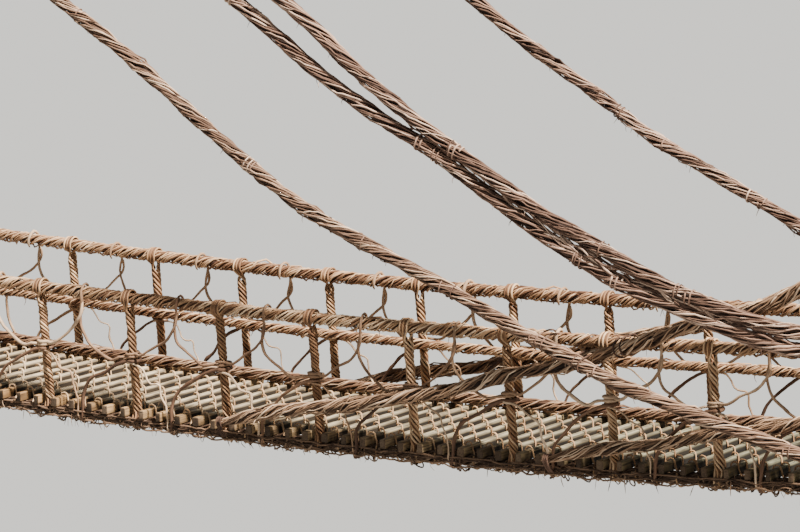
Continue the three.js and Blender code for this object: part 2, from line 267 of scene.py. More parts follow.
def woodMaterial(name, dark, light, stain, rightPaintedShade, grainScale, leftEndsTanAndLight=None, rightEndsPaintedLight=None):
    material, tree, shader = newMaterial(name, woodLook["roughness"])
    place = addNode(tree, "ShaderNodeTexCoord").outputs["Object"]
    tone = addNode(tree, "ShaderNodeAttribute", attribute_name="tone").outputs["Fac"]
    grain = noiseNode(tree, mappingNode(tree, place, grainScale), 1.0, 5.0, 0.6).outputs["Fac"]
    blotch = noiseNode(tree, mappingNode(tree, place, woodLook["stainScale"]), 1.0, 3.0).outputs["Fac"]
    lines = rampNode(tree, tuple(zip(woodLook["grainStops"], (dark, light))))
    tree.links.new(grain, lines.inputs["Fac"])
    stained = rampNode(tree, tuple(zip(woodLook["stainStops"], (stain, white))))
    tree.links.new(blotch, stained.inputs["Fac"])
    color = mixColor(tree, woodLook["stainShare"], lines.outputs["Color"], stained.outputs["Color"], "MULTIPLY")
    # Tone carries each bar's own shade, plus painted shade down its sides and painted light at its ends.
    shades = rampNode(tree, woodLook["shades"])
    tree.links.new(tone, shades.inputs["Fac"])
    color = mixColor(tree, 1.0, color, shades.outputs["Color"], "MULTIPLY")
    axes = addNode(tree, "ShaderNodeSeparateXYZ")
    tree.links.new(place, axes.inputs["Vector"])
    # Painted shade: darker and greyer toward the bridge's right end.
    rightness = mathNode(tree, "MULTIPLY", axes.outputs["X"], woodLook["rightPerMetre"])
    farther = rampNode(tree, tuple(zip(woodLook["rightStops"], (white, rightPaintedShade))))
    tree.links.new(rightness, farther.inputs["Fac"])
    color = mixColor(tree, 1.0, color, farther.outputs["Color"], "MULTIPLY")
    # Ends: warmer and paler on the left, partly own tan, partly painted sunlight; brighter on the right, painted
    # light.
    if leftEndsTanAndLight:
        tint = rampNode(tree, tuple(zip(woodLook["tintStops"], (leftEndsTanAndLight, rightEndsPaintedLight))))
        tree.links.new(rightness, tint.inputs["Fac"])
        nearness = rampNode(tree, tuple(zip(woodLook["endStops"], ((0.0, 0.0, 0.0), white))))
        ragged = mathNode(tree, "MULTIPLY", blotch, woodLook["endWander"])
        spread = mathNode(tree, "ADD", mathNode(tree, "ABSOLUTE", axes.outputs["Y"]), ragged)
        tree.links.new(mathNode(tree, "MULTIPLY", spread, woodLook["endScale"]), nearness.inputs["Fac"])
        ended = mixColor(tree, 1.0, color, tint.outputs["Color"], "MULTIPLY")
        color = mixColor(tree, nearness.outputs["Color"], color, ended)
    tree.links.new(color, shader.inputs["Base Color"])
    bumpNode(tree, shader, grain, woodLook["relief"])
    return material


vineShades = {  # from the darkest vine to the most bleached
    # The near rail's finish is paler than the other rails': painted light where the stays' shadows fall on it.
    "nearRailPaintedLightVine": ((0.056, 0.026, 0.014), (0.235, 0.118, 0.058), (0.53, 0.32, 0.17), (0.92, 0.67, 0.43)),
    "railVine": ((0.05, 0.022, 0.012), (0.2, 0.095, 0.046), (0.44, 0.25, 0.13), (0.78, 0.54, 0.33)),
    # The toe rope's finish is darker than the rails': partly painted shade.
    "toeVine": ((0.04, 0.018, 0.011), (0.15, 0.075, 0.04), (0.32, 0.185, 0.105), (0.62, 0.43, 0.28)),
    "postVine": ((0.05, 0.022, 0.012), (0.2, 0.095, 0.045), (0.44, 0.25, 0.125), (0.78, 0.53, 0.31)),
    "stayVine": ((0.04, 0.02, 0.012), (0.17, 0.094, 0.057), (0.37, 0.228, 0.145), (0.76, 0.56, 0.39)),
    "bundleVine": ((0.032, 0.016, 0.01), (0.13, 0.07, 0.045), (0.32, 0.19, 0.128), (0.76, 0.55, 0.4)),
    "risingVine": ((0.036, 0.019, 0.011), (0.165, 0.092, 0.05), (0.42, 0.255, 0.148), (0.84, 0.62, 0.42)),
    "netVine": ((0.05, 0.025, 0.015), (0.19, 0.1, 0.056), (0.4, 0.245, 0.14), (0.75, 0.55, 0.36)),
    # The vines under the deck and round its edges take this darker finish: painted shade.
    "shadeVine": ((0.03, 0.017, 0.01), (0.105, 0.058, 0.032), (0.25, 0.15, 0.088), (0.54, 0.37, 0.24)),
    "lashVine": ((0.1, 0.05, 0.024), (0.29, 0.155, 0.072), (0.52, 0.32, 0.165), (0.76, 0.54, 0.33)),
    # The cores' near-black finish: painted shade between the vines.
    "paintedShadeCore": ((0.012, 0.007, 0.004), (0.022, 0.012, 0.008), (0.032, 0.018, 0.012), (0.045, 0.026, 0.017)),
}
woodShades = {
    "slatWood": {
        "dark": (0.07, 0.052, 0.034), "light": (0.44, 0.362, 0.25), "stain": (0.36, 0.31, 0.25),
        # The colour toward the right end is painted shade.
        "rightPaintedShade": (0.33, 0.38, 0.365), "grainScale": (60.0, 2.2, 60.0),
        # The ends' tints: a tan partly painted sunlight, and at the right a brighter one, painted light.
        "leftEndsTanAndLight": (1.1, 0.78, 0.47), "rightEndsPaintedLight": (1.45, 1.22, 1.0),
    },
    "slatEnd": {
        "dark": (0.04, 0.028, 0.02), "light": (0.15, 0.105, 0.07), "stain": (0.5, 0.42, 0.35),
        "rightPaintedShade": (1.0, 0.96, 0.9), "grainScale": (90.0, 90.0, 90.0),
    },
    "beamWood": {
        "dark": (0.11, 0.075, 0.05), "light": (0.38, 0.29, 0.2), "stain": (0.55, 0.5, 0.42),
        "rightPaintedShade": (0.9, 0.9, 0.9), "grainScale": (40.0, 3.0, 40.0),
    },
    "beamEnd": {
        "dark": (0.15, 0.1, 0.06), "light": (0.5, 0.36, 0.23), "stain": (0.55, 0.48, 0.4),
        "rightPaintedShade": (0.9, 0.9, 0.9), "grainScale": (60.0, 60.0, 60.0),
    },
}
finishes = {name: vineMaterial(name, *shades) for name, shades in vineShades.items()}
finishes.update({name: woodMaterial(name, **shades) for name, shades in woodShades.items()})
print("materials made:", len(finishes))


# Vines: each is one line of points with a radius and a shade; a rope is many of them.
def wander(rng, along, amount, longest=1.4):
    total = np.zeros_like(along)
    for share, length in ((0.55, longest), (0.3, longest * 0.43), (0.15, longest * 0.19)):  # long, middle, short wave
        total += share * np.sin(along * (2 * math.pi / (length * rng.uniform(0.8, 1.25))) + rng.uniform(0, 6.283))
    return total * amount


def distances(path):
    return np.r_[0.0, np.cumsum(np.linalg.norm(np.diff(path, axis=0), axis=1))]


def resample(points, step):
    points = np.asarray(points, dtype=float)
    lengths = distances(points)
    count = max(2, int(round(lengths[-1] / step)) + 1)
    wanted = np.linspace(0.0, lengths[-1], count)
    return np.column_stack([np.interp(wanted, lengths, points[:, axis]) for axis in range(3)])


def smoothRoute(points, step, finer=12):  # a smooth line through all the points, in even steps
    marks = [np.asarray(point, dtype=float) for point in points]
    marks = [2 * marks[0] - marks[1]] + marks + [2 * marks[-1] - marks[-2]]
    route = []
    for p0, p1, p2, p3 in zip(marks, marks[1:], marks[2:], marks[3:]):
        t = [0.0]
        for a, b in ((p0, p1), (p1, p2), (p2, p3)):
            t.append(t[-1] + math.sqrt(np.linalg.norm(b - a)) + 1e-9)
        s = np.linspace(t[1], t[2], finer, endpoint=False)[:, None]
        a1 = (t[1] - s) / (t[1] - t[0]) * p0 + (s - t[0]) / (t[1] - t[0]) * p1
        a2 = (t[2] - s) / (t[2] - t[1]) * p1 + (s - t[1]) / (t[2] - t[1]) * p2
        a3 = (t[3] - s) / (t[3] - t[2]) * p2 + (s - t[2]) / (t[3] - t[2]) * p3
        b1 = (t[2] - s) / (t[2] - t[0]) * a1 + (s - t[0]) / (t[2] - t[0]) * a2
        b2 = (t[3] - s) / (t[3] - t[1]) * a2 + (s - t[1]) / (t[3] - t[1]) * a3
        route.append((t[2] - s) / (t[2] - t[1]) * b1 + (s - t[1]) / (t[2] - t[1]) * b2)
    route.append(marks[-2][None, :])
    return resample(np.concatenate(route), step)


def smoothRing(points, step):  # the same, closed
    points = [np.asarray(point, dtype=float) for point in points]
    route = smoothRoute(points[-3:] + points + points[:3], step / 3)
    apart = np.linalg.norm(route - points[0], axis=1)
    half = len(route) // 2
    first = int(np.argmin(apart[:half]))
    last = half + int(np.argmin(apart[half:]))
    return resample(route[first:last + 1], step)[:-1]


def crossAxes(path, closed):
    tangent = np.roll(path, -1, axis=0) - np.roll(path, 1, axis=0) if closed else np.gradient(path, axis=0)
    tangent /= np.linalg.norm(tangent, axis=1)[:, None]
    side = np.array([0.0, 1.0, 0.0]) - tangent * tangent[:, 1:2]
    side /= np.linalg.norm(side, axis=1)[:, None]
    return side, np.cross(tangent, side)


def vine(points, radii, tone, closed=False, core=False):
    return {"points": points, "radii": radii, "tone": tone, "closed": closed, "core": core}


# Knobs: a swelling on a vine every so often; every vine thins out toward its ends.
knob = {"apart": 0.7, "heights": (0.1, 0.35), "reach": 0.02, "lumpLength": 0.5, "endLength": 0.05}


def knobbly(rng, points, size, lumps=0.12, taper=0.5):
    along = distances(points)
    radii = size * (1 + wander(rng, along, lumps, knob["lumpLength"]))
    for _ in range(int(along[-1] / knob["apart"]) + 1):
        height = rng.uniform(*knob["heights"])
        radii *= 1 + height * np.exp(-((along - rng.uniform(0, along[-1])) / knob["reach"]) ** 2)
    ends = np.minimum(along, along[-1] - along)
    return radii * (taper + (1 - taper) * np.clip(ends / knob["endLength"], 0, 1))


# Loose vines wobble, but not at their ends.
loose = {"wobbleLength": 0.45, "stillEnd": 0.08}


def looseVine(rng, points, size, step, lumps, wobble, taper=0.5):
    line = smoothRoute(points, step)
    along = distances(line)
    fade = np.clip(np.minimum(along, along[-1] - along) / loose["stillEnd"], 0, 1)
    for axis in range(3):
        line[:, axis] += wander(rng, along, wobble, loose["wobbleLength"]) * fade
    return vine(line, knobbly(rng, line, size, lumps, taper), rng.random())


# Twist: how the vines of a rope differ. Each of the three layers gives the vines' thickness and depth, in vines, their
# lay and their shades.
twist = {
    "layers": {
        "vines": {"thick": 1.0, "deep": 1.0, "lay": 1.0, "tones": (0.05, 0.95)},
        # The inner layer's near-black tones are painted shade between the outer vines.
        "inner": {"thick": 1.6, "deep": 3.2, "lay": 0.8, "tones": (0.0, 0.12)},
        "wild": {"thick": 0.7, "deep": 0.35, "lay": 0.62, "tones": (0.5, 1.0)},
    },
    "sizes": (0.7, 1.22), "turned": (-0.2, 0.2), "depths": (-0.5, 0.3), "driftLength": 0.9, "depthDrift": 0.5,
    "depthLength": 0.7, "strayShares": (0.4, 1.6), "strayHeights": (0.008, 0.026), "strayReaches": (0.05, 0.09),
    "endMargin": 0.3, "lastCut": 0.6, "cutShares": (0.6, 1.1), "overlap": 3, "sunkStart": 1.2, "startReach": 0.05,
    "liftedEnds": (0.0, 2.2), "endReach": 0.03, "frayMargin": 3, "frayAngles": (-2.6, -0.5),
    "frayLengths": (0.03, 0.09), "taperFrom": 0.35, "core": 0.5, "ringCore": 0.3,
}
fray = {"thick": 0.0038, "thin": 0.0015, "sizes": (0.7, 1.3), "step": 0.02}


def vineLengths(rng, along, longest):
    cuts = [0]
    place = rng.uniform(twist["endMargin"], longest)
    while place < along[-1] - twist["lastCut"]:
        cuts.append(int(np.searchsorted(along, place)))
        place += rng.uniform(*twist["cutShares"]) * longest
    cuts.append(len(along))
    return [(max(0, first - twist["overlap"]), last) for first, last in zip(cuts, cuts[1:])]


def ropeFray(rng, place, outward, length):
    swing = np.array([rng.uniform(-0.5, 0.5), rng.uniform(-0.3, 0.3), -0.7])
    points = [place, place + outward * length * 0.4, place + outward * length * 0.5 + swing * length * 0.6]
    line = smoothRoute(points, fray["step"], 4)
    return vine(line, np.linspace(fray["thick"], fray["thin"], len(line)) * rng.uniform(*fray["sizes"]), rng.random())


def ropeFrays(rng, path, look, swell, side, rise, count):
    frays = []
    for _ in range(count):
        index = rng.randrange(twist["frayMargin"], len(path) - twist["frayMargin"])
        angle = rng.uniform(*twist["frayAngles"])
        outward = side[index] * math.cos(angle) + rise[index] * math.sin(angle)
        place = path[index] + outward * (look["radius"] * swell[index] - look["vine"])
        frays.append(ropeFray(rng, place, outward, rng.uniform(*twist["frayLengths"])))
    return frays


def twistedRope(rng, path, look):
    along = distances(path)
    side, rise = crossAxes(path, False)
    swell = np.ones_like(along)
    swell += wander(rng, along, look["swell"], look["swellLength"])
    if "taper" in look:
        swell *= twist["taperFrom"] + (1 - twist["taperFrom"]) * np.clip(along / look["taper"], 0, 1)
    vines = []
    for name, layer in twist["layers"].items():
        isInner = name == "inner"
        far = look["radius"] - look["vine"] * layer["deep"]
        lay = look["lay"] * layer["lay"]
        for number in range(look[name]):
            size = look["vine"] * layer["thick"] * rng.uniform(*twist["sizes"])
            angle = 2 * math.pi * (number / look[name] - along / lay) + rng.uniform(*twist["turned"])
            reach = far * swell + rng.uniform(*twist["depths"]) * size
            angle = angle + wander(rng, along, look["drift"], twist["driftLength"])
            reach = reach + wander(rng, along, size * twist["depthDrift"], twist["depthLength"])
            strays = 0 if isInner else int(along[-1] * look["strays"] * rng.uniform(*twist["strayShares"]))
            for _ in range(strays):
                place = rng.uniform(twist["endMargin"], along[-1] - twist["endMargin"])
                height = rng.uniform(*twist["strayHeights"])
                reach = reach + height * np.exp(-((along - place) / rng.uniform(*twist["strayReaches"])) ** 2)
            for first, last in vineLengths(rng, along, look["vineLength"]):
                part = slice(first, last, 2 if isInner else 1)
                out = reach[part].copy()
                if first > 0:
                    out -= twist["sunkStart"] * size * np.exp(-(along[part] - along[first]) / twist["startReach"])
                if last < len(along):
                    lift = rng.uniform(*twist["liftedEnds"])
                    out += lift * size * np.exp(-(along[last - 1] - along[part]) / twist["endReach"])
                points = path[part] + side[part] * (np.cos(angle[part]) * out)[:, None]
                points = points + rise[part] * (np.sin(angle[part]) * out)[:, None]
                vines.append(vine(points, knobbly(rng, points, size), rng.uniform(*layer["tones"])))
    vines += ropeFrays(rng, path, look, swell, side, rise, int(along[-1] * look["frays"]))
    vines.append(vine(path[::2], look["radius"] * twist["core"] * swell[::2], 0.5, False, True))
    return vines


def twistedRing(rng, path, look):
    along = distances(path)
    side, rise = crossAxes(path, True)
    whole = along[-1] + np.linalg.norm(path[0] - path[-1])
    lay = whole / max(1, round(whole / look["lay"]))
    vines = []
    for number in range(look["vines"]):
        size = look["vine"] * rng.uniform(*twist["sizes"])
        angle = 2 * math.pi * (number / look["vines"] - along / lay) + rng.uniform(*twist["turned"])
        reach = (look["radius"] - look["vine"]) * np.ones_like(along) + rng.uniform(*twist["depths"]) * size
        points = path + side * (np.cos(angle) * reach)[:, None] + rise * (np.sin(angle) * reach)[:, None]
        vines.append(vine(points, np.full_like(along, size), rng.random(), True))
    core = np.full(len(path[::2]), look["radius"] * twist["ringCore"])
    vines.append(vine(path[::2], core, 0.5, True, True))
    return vines


grainShift = 7.3  # metres along the grain from one vine to the next, so that no two look alike


def growVines(name, vines, finish, resolution=1):
    curve = bpy.data.curves.new(name, "CURVE")
    curve.dimensions = "3D"
    curve.fill_mode = "FULL"
    curve.bevel_depth = 1.0
    curve.bevel_resolution = resolution
    curve.use_fill_caps = True
    sides = 4 + 2 * resolution
    tubeRows = []
    capRows = []
    for number, item in enumerate(vines):
        count = len(item["points"])
        spline = curve.splines.new("POLY")
        spline.points.add(count - 1)
        spline.points.foreach_set("co", np.column_stack([item["points"], np.ones(count)]).ravel())
        spline.points.foreach_set("radius", np.asarray(item["radii"], dtype=float))
        spline.use_cyclic_u = item["closed"]
        angle = np.tile(np.arange(sides) * (2 * math.pi / sides), count)
        run = np.repeat(distances(item["points"]) + grainShift * number, sides)
        tones = np.repeat(np.broadcast_to(item["tone"], count), sides)
        cores = np.full(count * sides, float(item["core"]))
        tubeRows.append(np.column_stack([run, np.cos(angle), np.sin(angle), tones, cores]))
        if not item["closed"]:
            capRows.insert(0, np.concatenate([tubeRows[-1][-sides:], tubeRows[-1][:sides]]))
    rope = bpy.data.objects.new(name, curve)
    bpy.context.collection.objects.link(rope)
    bpy.ops.object.select_all(action="DESELECT")
    rope.select_set(True)
    bpy.context.view_layer.objects.active = rope
    bpy.ops.object.convert(target="MESH")
    rope = bpy.context.object
    mesh = rope.data
    rows = np.concatenate(capRows + tubeRows)
    if len(mesh.vertices) != len(rows):  # the shades are given by the vertices' order
        raise ValueError(f"{name}: {len(mesh.vertices)} vertices, {len(rows)} expected")
    mesh.attributes.new("grain", "FLOAT_VECTOR", "POINT").data.foreach_set("vector", rows[:, :3].ravel())
    mesh.attributes.new("tone", "FLOAT", "POINT").data.foreach_set("value", rows[:, 3].copy())
    mesh.materials.clear()
    mesh.materials.append(finishes[finish])
    # A rope's core takes a near-black finish, painted shade in the gaps between the vines.
    isCore = rows[:, 4] > 0.5
    if isCore.any():
        mesh.materials.append(finishes["paintedShadeCore"])
        starts = np.empty(len(mesh.polygons), dtype=np.int32)
        mesh.polygons.foreach_get("loop_start", starts)
        corners = np.empty(len(mesh.loops), dtype=np.int32)
        mesh.loops.foreach_get("vertex_index", corners)
        mesh.polygons.foreach_set("material_index", isCore[corners[starts]].astype(np.int32))
    mesh.polygons.foreach_set("use_smooth", np.ones(len(mesh.polygons), dtype=bool))
    bpy.ops.object.mode_set(mode="EDIT")
    bpy.ops.mesh.select_all(action="SELECT")
    bpy.ops.mesh.remove_doubles(threshold=1e-6)
    bpy.ops.object.mode_set(mode="OBJECT")
    return rope


def setPiece(piece, slot, *nodes):
    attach(piece, "root")
    if nodes:
        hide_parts(*nodes)


# Ropes. Radius is the whole rope's, vine one vine's, lay the length of one turn; strays and frays are counts a metre.
ropes = {
    "rail": {"radius": 0.064, "vines": 12, "vine": 0.0092, "inner": 5, "wild": 3, "lay": 0.5, "drift": 0.5,
             "swell": 0.1, "swellLength": 0.8, "strays": 0.4, "vineLength": 2.4, "frays": 1.0},
    "mid": {"radius": 0.052, "vines": 10, "vine": 0.0088, "inner": 4, "wild": 3, "lay": 0.46, "drift": 0.5,
            "swell": 0.12, "swellLength": 0.7, "strays": 0.4, "vineLength": 2.4, "frays": 1.0},
    "toe": {"radius": 0.06, "vines": 11, "vine": 0.0092, "inner": 4, "wild": 3, "lay": 0.8, "drift": 0.6,
            "swell": 0.1, "swellLength": 0.8, "strays": 0.4, "vineLength": 2.4, "frays": 1.5},
    "edgeBearer": {"radius": 0.053, "vines": 9, "vine": 0.011, "inner": 0, "wild": 1, "lay": 0.5, "drift": 0.35,
                   "swell": 0.08, "swellLength": 0.9, "strays": 0.3, "vineLength": 3.0, "frays": 1.0},
    "innerBearer": {"radius": 0.05, "vines": 7, "vine": 0.012, "inner": 0, "wild": 0, "lay": 0.7, "drift": 0.3,
                    "swell": 0.06, "swellLength": 1.1, "strays": 0.15, "vineLength": 4.0, "frays": 0.5},
    "stay": {"radius": 0.063, "vines": 17, "vine": 0.0076, "inner": 6, "wild": 2, "lay": 1.1, "drift": 0.4,
             "swell": 0.17, "swellLength": 0.75, "strays": 0.2, "vineLength": 2.6, "frays": 2.0},
    "bundle": {"radius": 0.068, "vines": 17, "vine": 0.0079, "inner": 7, "wild": 1, "lay": 1.5, "drift": 0.4,
               "swell": 0.1, "swellLength": 0.9, "strays": 0.12, "vineLength": 2.6, "frays": 3.0},
    "farStay": {"radius": 0.062, "vines": 15, "vine": 0.0078, "inner": 5, "wild": 2, "lay": 1.2, "drift": 0.4,
                "swell": 0.15, "swellLength": 0.8, "strays": 0.35, "vineLength": 2.6, "frays": 5.0},
    "rising": {"radius": 0.067, "vines": 15, "vine": 0.008, "inner": 5, "wild": 3, "lay": 1.1, "drift": 0.6,
               "swell": 0.16, "swellLength": 0.9, "strays": 0.6, "vineLength": 2.2, "frays": 2.5, "taper": 0.35},
    "low": {"radius": 0.058, "vines": 14, "vine": 0.0074, "inner": 4, "wild": 4, "lay": 1.1, "drift": 0.7,
            "swell": 0.15, "swellLength": 0.9, "strays": 0.7, "vineLength": 2.0, "frays": 2.5, "taper": 0.35},
    "eye": {"radius": 0.038, "vines": 11, "vine": 0.0078, "lay": 0.24},
}
eye = {"radius": 0.104, "tube": 0.04, "points": 30, "neckBack": 0.06, "neckTurns": 6, "neckLength": 0.1}
bindingTurn = {"points": 12, "vine": 0.0075, "sunk": 0.4}
ropeStep = 0.058  # between two points of a rope's line
boxLimits = {"y": 1.3495, "z": 4.765}  # the solids' box, which nothing passes


def sagLine(start, end, y, height, step=ropeStep):
    x = np.linspace(start, end, int((end - start) / step) + 1)
    return np.column_stack([x, np.full_like(x, y), deckTop(x) + height])


def binding(rng, centre, direction, radius, length, turns, size=bindingTurn["vine"]):
    direction = direction / np.linalg.norm(direction)
    side = np.array([0.0, 1.0, 0.0]) - direction * direction[1]
    side /= np.linalg.norm(side)
    rise = np.cross(direction, side)
    t = np.linspace(0, 1, int(turns * bindingTurn["points"]) + 1)
    angle = 2 * math.pi * turns * t + rng.uniform(0, 6)
    points = centre + np.outer((t - 0.5) * length, direction)
    reach = radius + size * bindingTurn["sunk"]
    points += reach * (np.outer(np.cos(angle), side) + np.outer(np.sin(angle), rise))
    return vine(points, np.full(len(t), size), rng.random())


def eyeVines(rng, end, direction, radius):
    direction = direction / np.linalg.norm(direction)
    centre = end + direction * (eye["radius"] + eye["tube"] / 4)
    up = np.cross(direction, np.array([0.0, 1.0, 0.0]))
    angles = np.linspace(0, 2 * math.pi, eye["points"], endpoint=False)
    ring = np.array([centre + eye["radius"] * (math.cos(a) * direction + math.sin(a) * up) for a in angles])
    vines = twistedRing(rng, ring, ropes["eye"])
    neck = end - direction * eye["neckBack"]
    vines.append(binding(rng, neck, direction, radius, eye["neckLength"], eye["neckTurns"]))
    return vines


def keepInside(vines):
    for item in vines:
        widest = float(np.max(item["radii"]))
        points = item["points"]
        points[:, 1] = np.clip(points[:, 1], widest - boxLimits["y"], boxLimits["y"] - widest)
        points[:, 2] = np.minimum(points[:, 2], boxLimits["z"] - widest)


def makeRope(node, seed, path, kind, finish, slot, leftEye=False, rightEye=False, extraNodes=()):
    rng = random.Random(seed)
    vines = twistedRope(rng, path, ropes[kind])
    if leftEye:
        vines += eyeVines(rng, path[0], path[0] - path[2], ropes[kind]["radius"])
    if rightEye:
        vines += eyeVines(rng, path[-1], path[-1] - path[-3], ropes[kind]["radius"])
    keepInside(vines)
    setPiece(growVines(f"{node}_vines", vines, finish), slot, node, *extraNodes)


rails = {"overrun": 0.23, "toeOverrun": 0.12, "midY": 0.8767, "midHeight": 0.549, "toeY": 0.8577, "toeHeight": 0.0647}
bearers = {"overrun": 0.19, "step": 0.09}


def makeRails():
    right = rightBeamX + rails["overrun"]
    near = sagLine(-rails["overrun"], right, -deck["railY"], deck["nearRailHeight"])
    far = sagLine(-rails["overrun"], right, deck["railY"], deck["farRailHeight"])
    mid = sagLine(-rails["overrun"], right, rails["midY"], rails["midHeight"])
    toe = sagLine(-rails["toeOverrun"], rightBeamX + rails["toeOverrun"], rails["toeY"], rails["toeHeight"])
    # The near rail takes the paler finish: painted light.
    makeRope("near_top_rail", 11, near, "rail", "nearRailPaintedLightVine", "vine_rope", True, True)
    makeRope("far_top_rail", 12, far, "rail", "railVine", "vine_rope", True, True)
    makeRope("far_mid_rail", 13, mid, "mid", "railVine", "vine_rope", True, True)
    makeRope("far_toe_rope", 14, toe, "toe", "toeVine", "vine_rope")


def makeBearers():
    names = ("near_edge_bearer", "near_inner_bearer", "far_inner_bearer", "far_edge_bearer")
    right = rightBeamX + bearers["overrun"]
    for number, (node, y) in enumerate(zip(names, deck["bearerRows"])):
        path = sagLine(-bearers["overrun"], right, y, -deck["bearerDepth"], bearers["step"])
        kind = "edgeBearer" if "edge" in node else "innerBearer"
        makeRope(node, 21 + number, path, kind, "shadeVine", "vine_rope")


makeRails()
print("rails twisted")
makeBearers()
print("bearers laid")


# Stays: the routes of the solids, along the bridge and up, in metres.
longStayRoute = (
    (2.3, 4.385), (2.6, 4.2), (3.52, 3.62), (4.2, 3.14), (4.76, 2.76), (5.32, 2.42), (5.97, 2.14), (6.72, 1.85),
    (7.45, 1.535), (8.07, 1.29), (8.68, 1.06), (9.08, 0.95), (9.48, 0.84), (9.87, 0.755), (10.26, 0.645),
    (10.48, 0.57), (10.7, 0.48), (10.9, 0.395), (11.038, 0.318), (11.158, 0.301), (11.268, 0.301),
)
bundleRoute = (
    (4.25, 4.54), (4.61, 4.29), (5.0, 4.02), (5.54, 3.64), (6.19, 3.26), (6.72, 3.0), (7.24, 2.69), (7.86, 2.34),
    (8.27, 2.135), (8.68, 1.955), (9.27, 1.78), (9.86, 1.62), (10.25, 1.53), (10.46, 1.5),
)
bundleUpperRoute = (
    (4.8, 4.56), (5.16, 4.31), (5.54, 4.04), (5.86, 3.78), (6.4, 3.42), (6.82, 3.16), (7.45, 2.8), (7.86, 2.56),
    (8.47, 2.28), (8.97, 2.05),
)
farStayRoute = (
    (5.29, 4.42), (5.65, 4.18), (5.98, 3.95), (6.53, 3.6), (7.08, 3.29), (7.62, 2.95), (8.15, 2.7), (8.68, 2.45),
    (9.2, 2.2), (9.7, 1.95), (10.15, 1.72),
)
risingStayRoute = (
    (4.15, 0.2), (4.36, 0.262), (4.77, 0.38), (5.22, 0.475), (5.66, 0.55), (6.1, 0.64), (6.85, 0.81), (7.43, 1.0),
    (8.1, 1.17), (8.81, 1.42), (9.2, 1.59), (9.5, 1.69), (9.98, 1.84), (10.17, 1.92), (10.36, 2.025), (10.62, 2.165),
)
lowStayRoute = (
    (7.62, 0.19), (7.8, 0.245), (8.21, 0.37), (8.62, 0.46), (9.02, 0.53), (9.51, 0.67), (9.9, 0.735), (10.19, 0.8),
    (10.38, 0.855), (10.64, 0.94),
)
stays = {  # the stays hang clear of the rails at outerY and swing in beside them at the right end
    "outerY": 1.2793, "innerY": 1.1373, "lowY": 1.1273, "longSwing": (9.95, 10.85), "bundleSwing": (10.08, 10.7),
    "longInnerY": 1.1433, "bundleInnerY": 1.097, "farInnerY": 1.084, "bundleRise": 0.133, "upperRise": 0.157,
    "stacked": 4, "nearer": 0.03, "nearerAt": 6.9, "nearerReach": 1.7, "besideRailX": (10.7, 10.9, rightBeamX + 0.13),
    "starts": {"near_rising_stay": 4.27, "far_rising_stay": 4.27, "near_low_stay": 7.76}, "step": 0.068,
}


def stayPath(route, side, y, swing=None, endY=None):
    points = []
    for x, z in route:
        across = y
        if swing:
            t = min(1.0, max(0.0, (x - swing[0]) / (swing[1] - swing[0])))
            across = y + (endY - y) * t * t * (3 - 2 * t)
        points.append((x, side * across, z))
    return smoothRoute(points, stays["step"])


def besideRail(height, rise=0.0):
    return tuple((x, deckTop(x) + height + rise) for x in stays["besideRailX"])


def stayPaths():
    stacked = tuple((x, z + stays["upperRise"]) for x, z in bundleRoute[-stays["stacked"]:])
    lower = bundleRoute + besideRail(deck["nearRailHeight"])
    upper = bundleUpperRoute + stacked + besideRail(deck["nearRailHeight"], stays["bundleRise"])
    far = farStayRoute + besideRail(deck["farRailHeight"])
    bundle = (stays["bundleSwing"], stays["bundleInnerY"])
    lowerPath = stayPath(lower, -1, stays["outerY"], *bundle)
    upperPath = stayPath(upper, -1, stays["outerY"], *bundle)
    for path, way in ((lowerPath, 1), (upperPath, -1)):
        path[:, 2] += way * stays["nearer"] * np.exp(-((path[:, 0] - stays["nearerAt"]) / stays["nearerReach"]) ** 2)
    found = {
        "near_long_stay": stayPath(longStayRoute, -1, stays["outerY"], stays["longSwing"], stays["longInnerY"]),
        "near_bundle_stay_lower": lowerPath,
        "near_bundle_stay_upper": upperPath,
        "far_long_stay": stayPath(far, 1, stays["outerY"], stays["bundleSwing"], stays["farInnerY"]),
        "near_rising_stay": stayPath(risingStayRoute, -1, stays["innerY"]),
        "far_rising_stay": stayPath(risingStayRoute, 1, stays["innerY"]),
        "near_low_stay": stayPath(lowStayRoute, -1, stays["lowY"]),
    }
    for node, start in stays["starts"].items():
        found[node] = found[node][found[node][:, 0] > start]
    return found


paths = stayPaths()


def makeStays():
    makeRope("near_long_stay", 41, paths["near_long_stay"], "stay", "stayVine", "stay_vine", True, False)
    for number, node in enumerate(("near_bundle_stay_lower", "near_bundle_stay_upper")):
        makeRope(node, 42 + number, paths[node], "bundle", "bundleVine", "stay_vine", True, False)
    makeRope("far_long_stay", 44, paths["far_long_stay"], "farStay", "bundleVine", "stay_vine", True, False)
    for number, node in enumerate(("near_rising_stay", "far_rising_stay")):
        makeRope(node, 45 + number, paths[node], "rising", "risingVine", "stay_vine", False, True)
    low = ("near_low_stay_eye",)
    makeRope("near_low_stay", 47, paths["near_low_stay"], "low", "risingVine", "stay_vine", False, True, low)


makeStays()
print("stays hung")


# Posts: closed loops of vine go over the top rail and under the edge bearer, twisted between; thinner ones fill the
# gaps. Each kind gives its loops and its turns.
post = {
    "kinds": ((3, 3.7), (3, 4.4), (3, 3.2)), "vine": 0.0098, "sizes": (0.88, 1.12), "ring": 0.0405, "step": 0.035,
    "spread": 0.038, "footSpread": 0.8, "footGap": 0.105, "headGap": 0.12, "overRail": 0.068, "overRoom": 0.005,
    "underBearer": 0.052, "footShift": 0.094, "waist": 0.1, "bow": 0.35, "quicken": 0.03, "core": 0.021,
    "ropeStep": 0.032, "jitter": 0.004, "sway": 0.12, "lumps": 0.12, "thin": 0.86, "sunk": 0.011,
    "tones": (0.3, 1.0), "thinTones": (0.0, 0.4), "headArc": (1.9, -1.9, 13), "footArc": (-1.75, -4.53, 9),
}


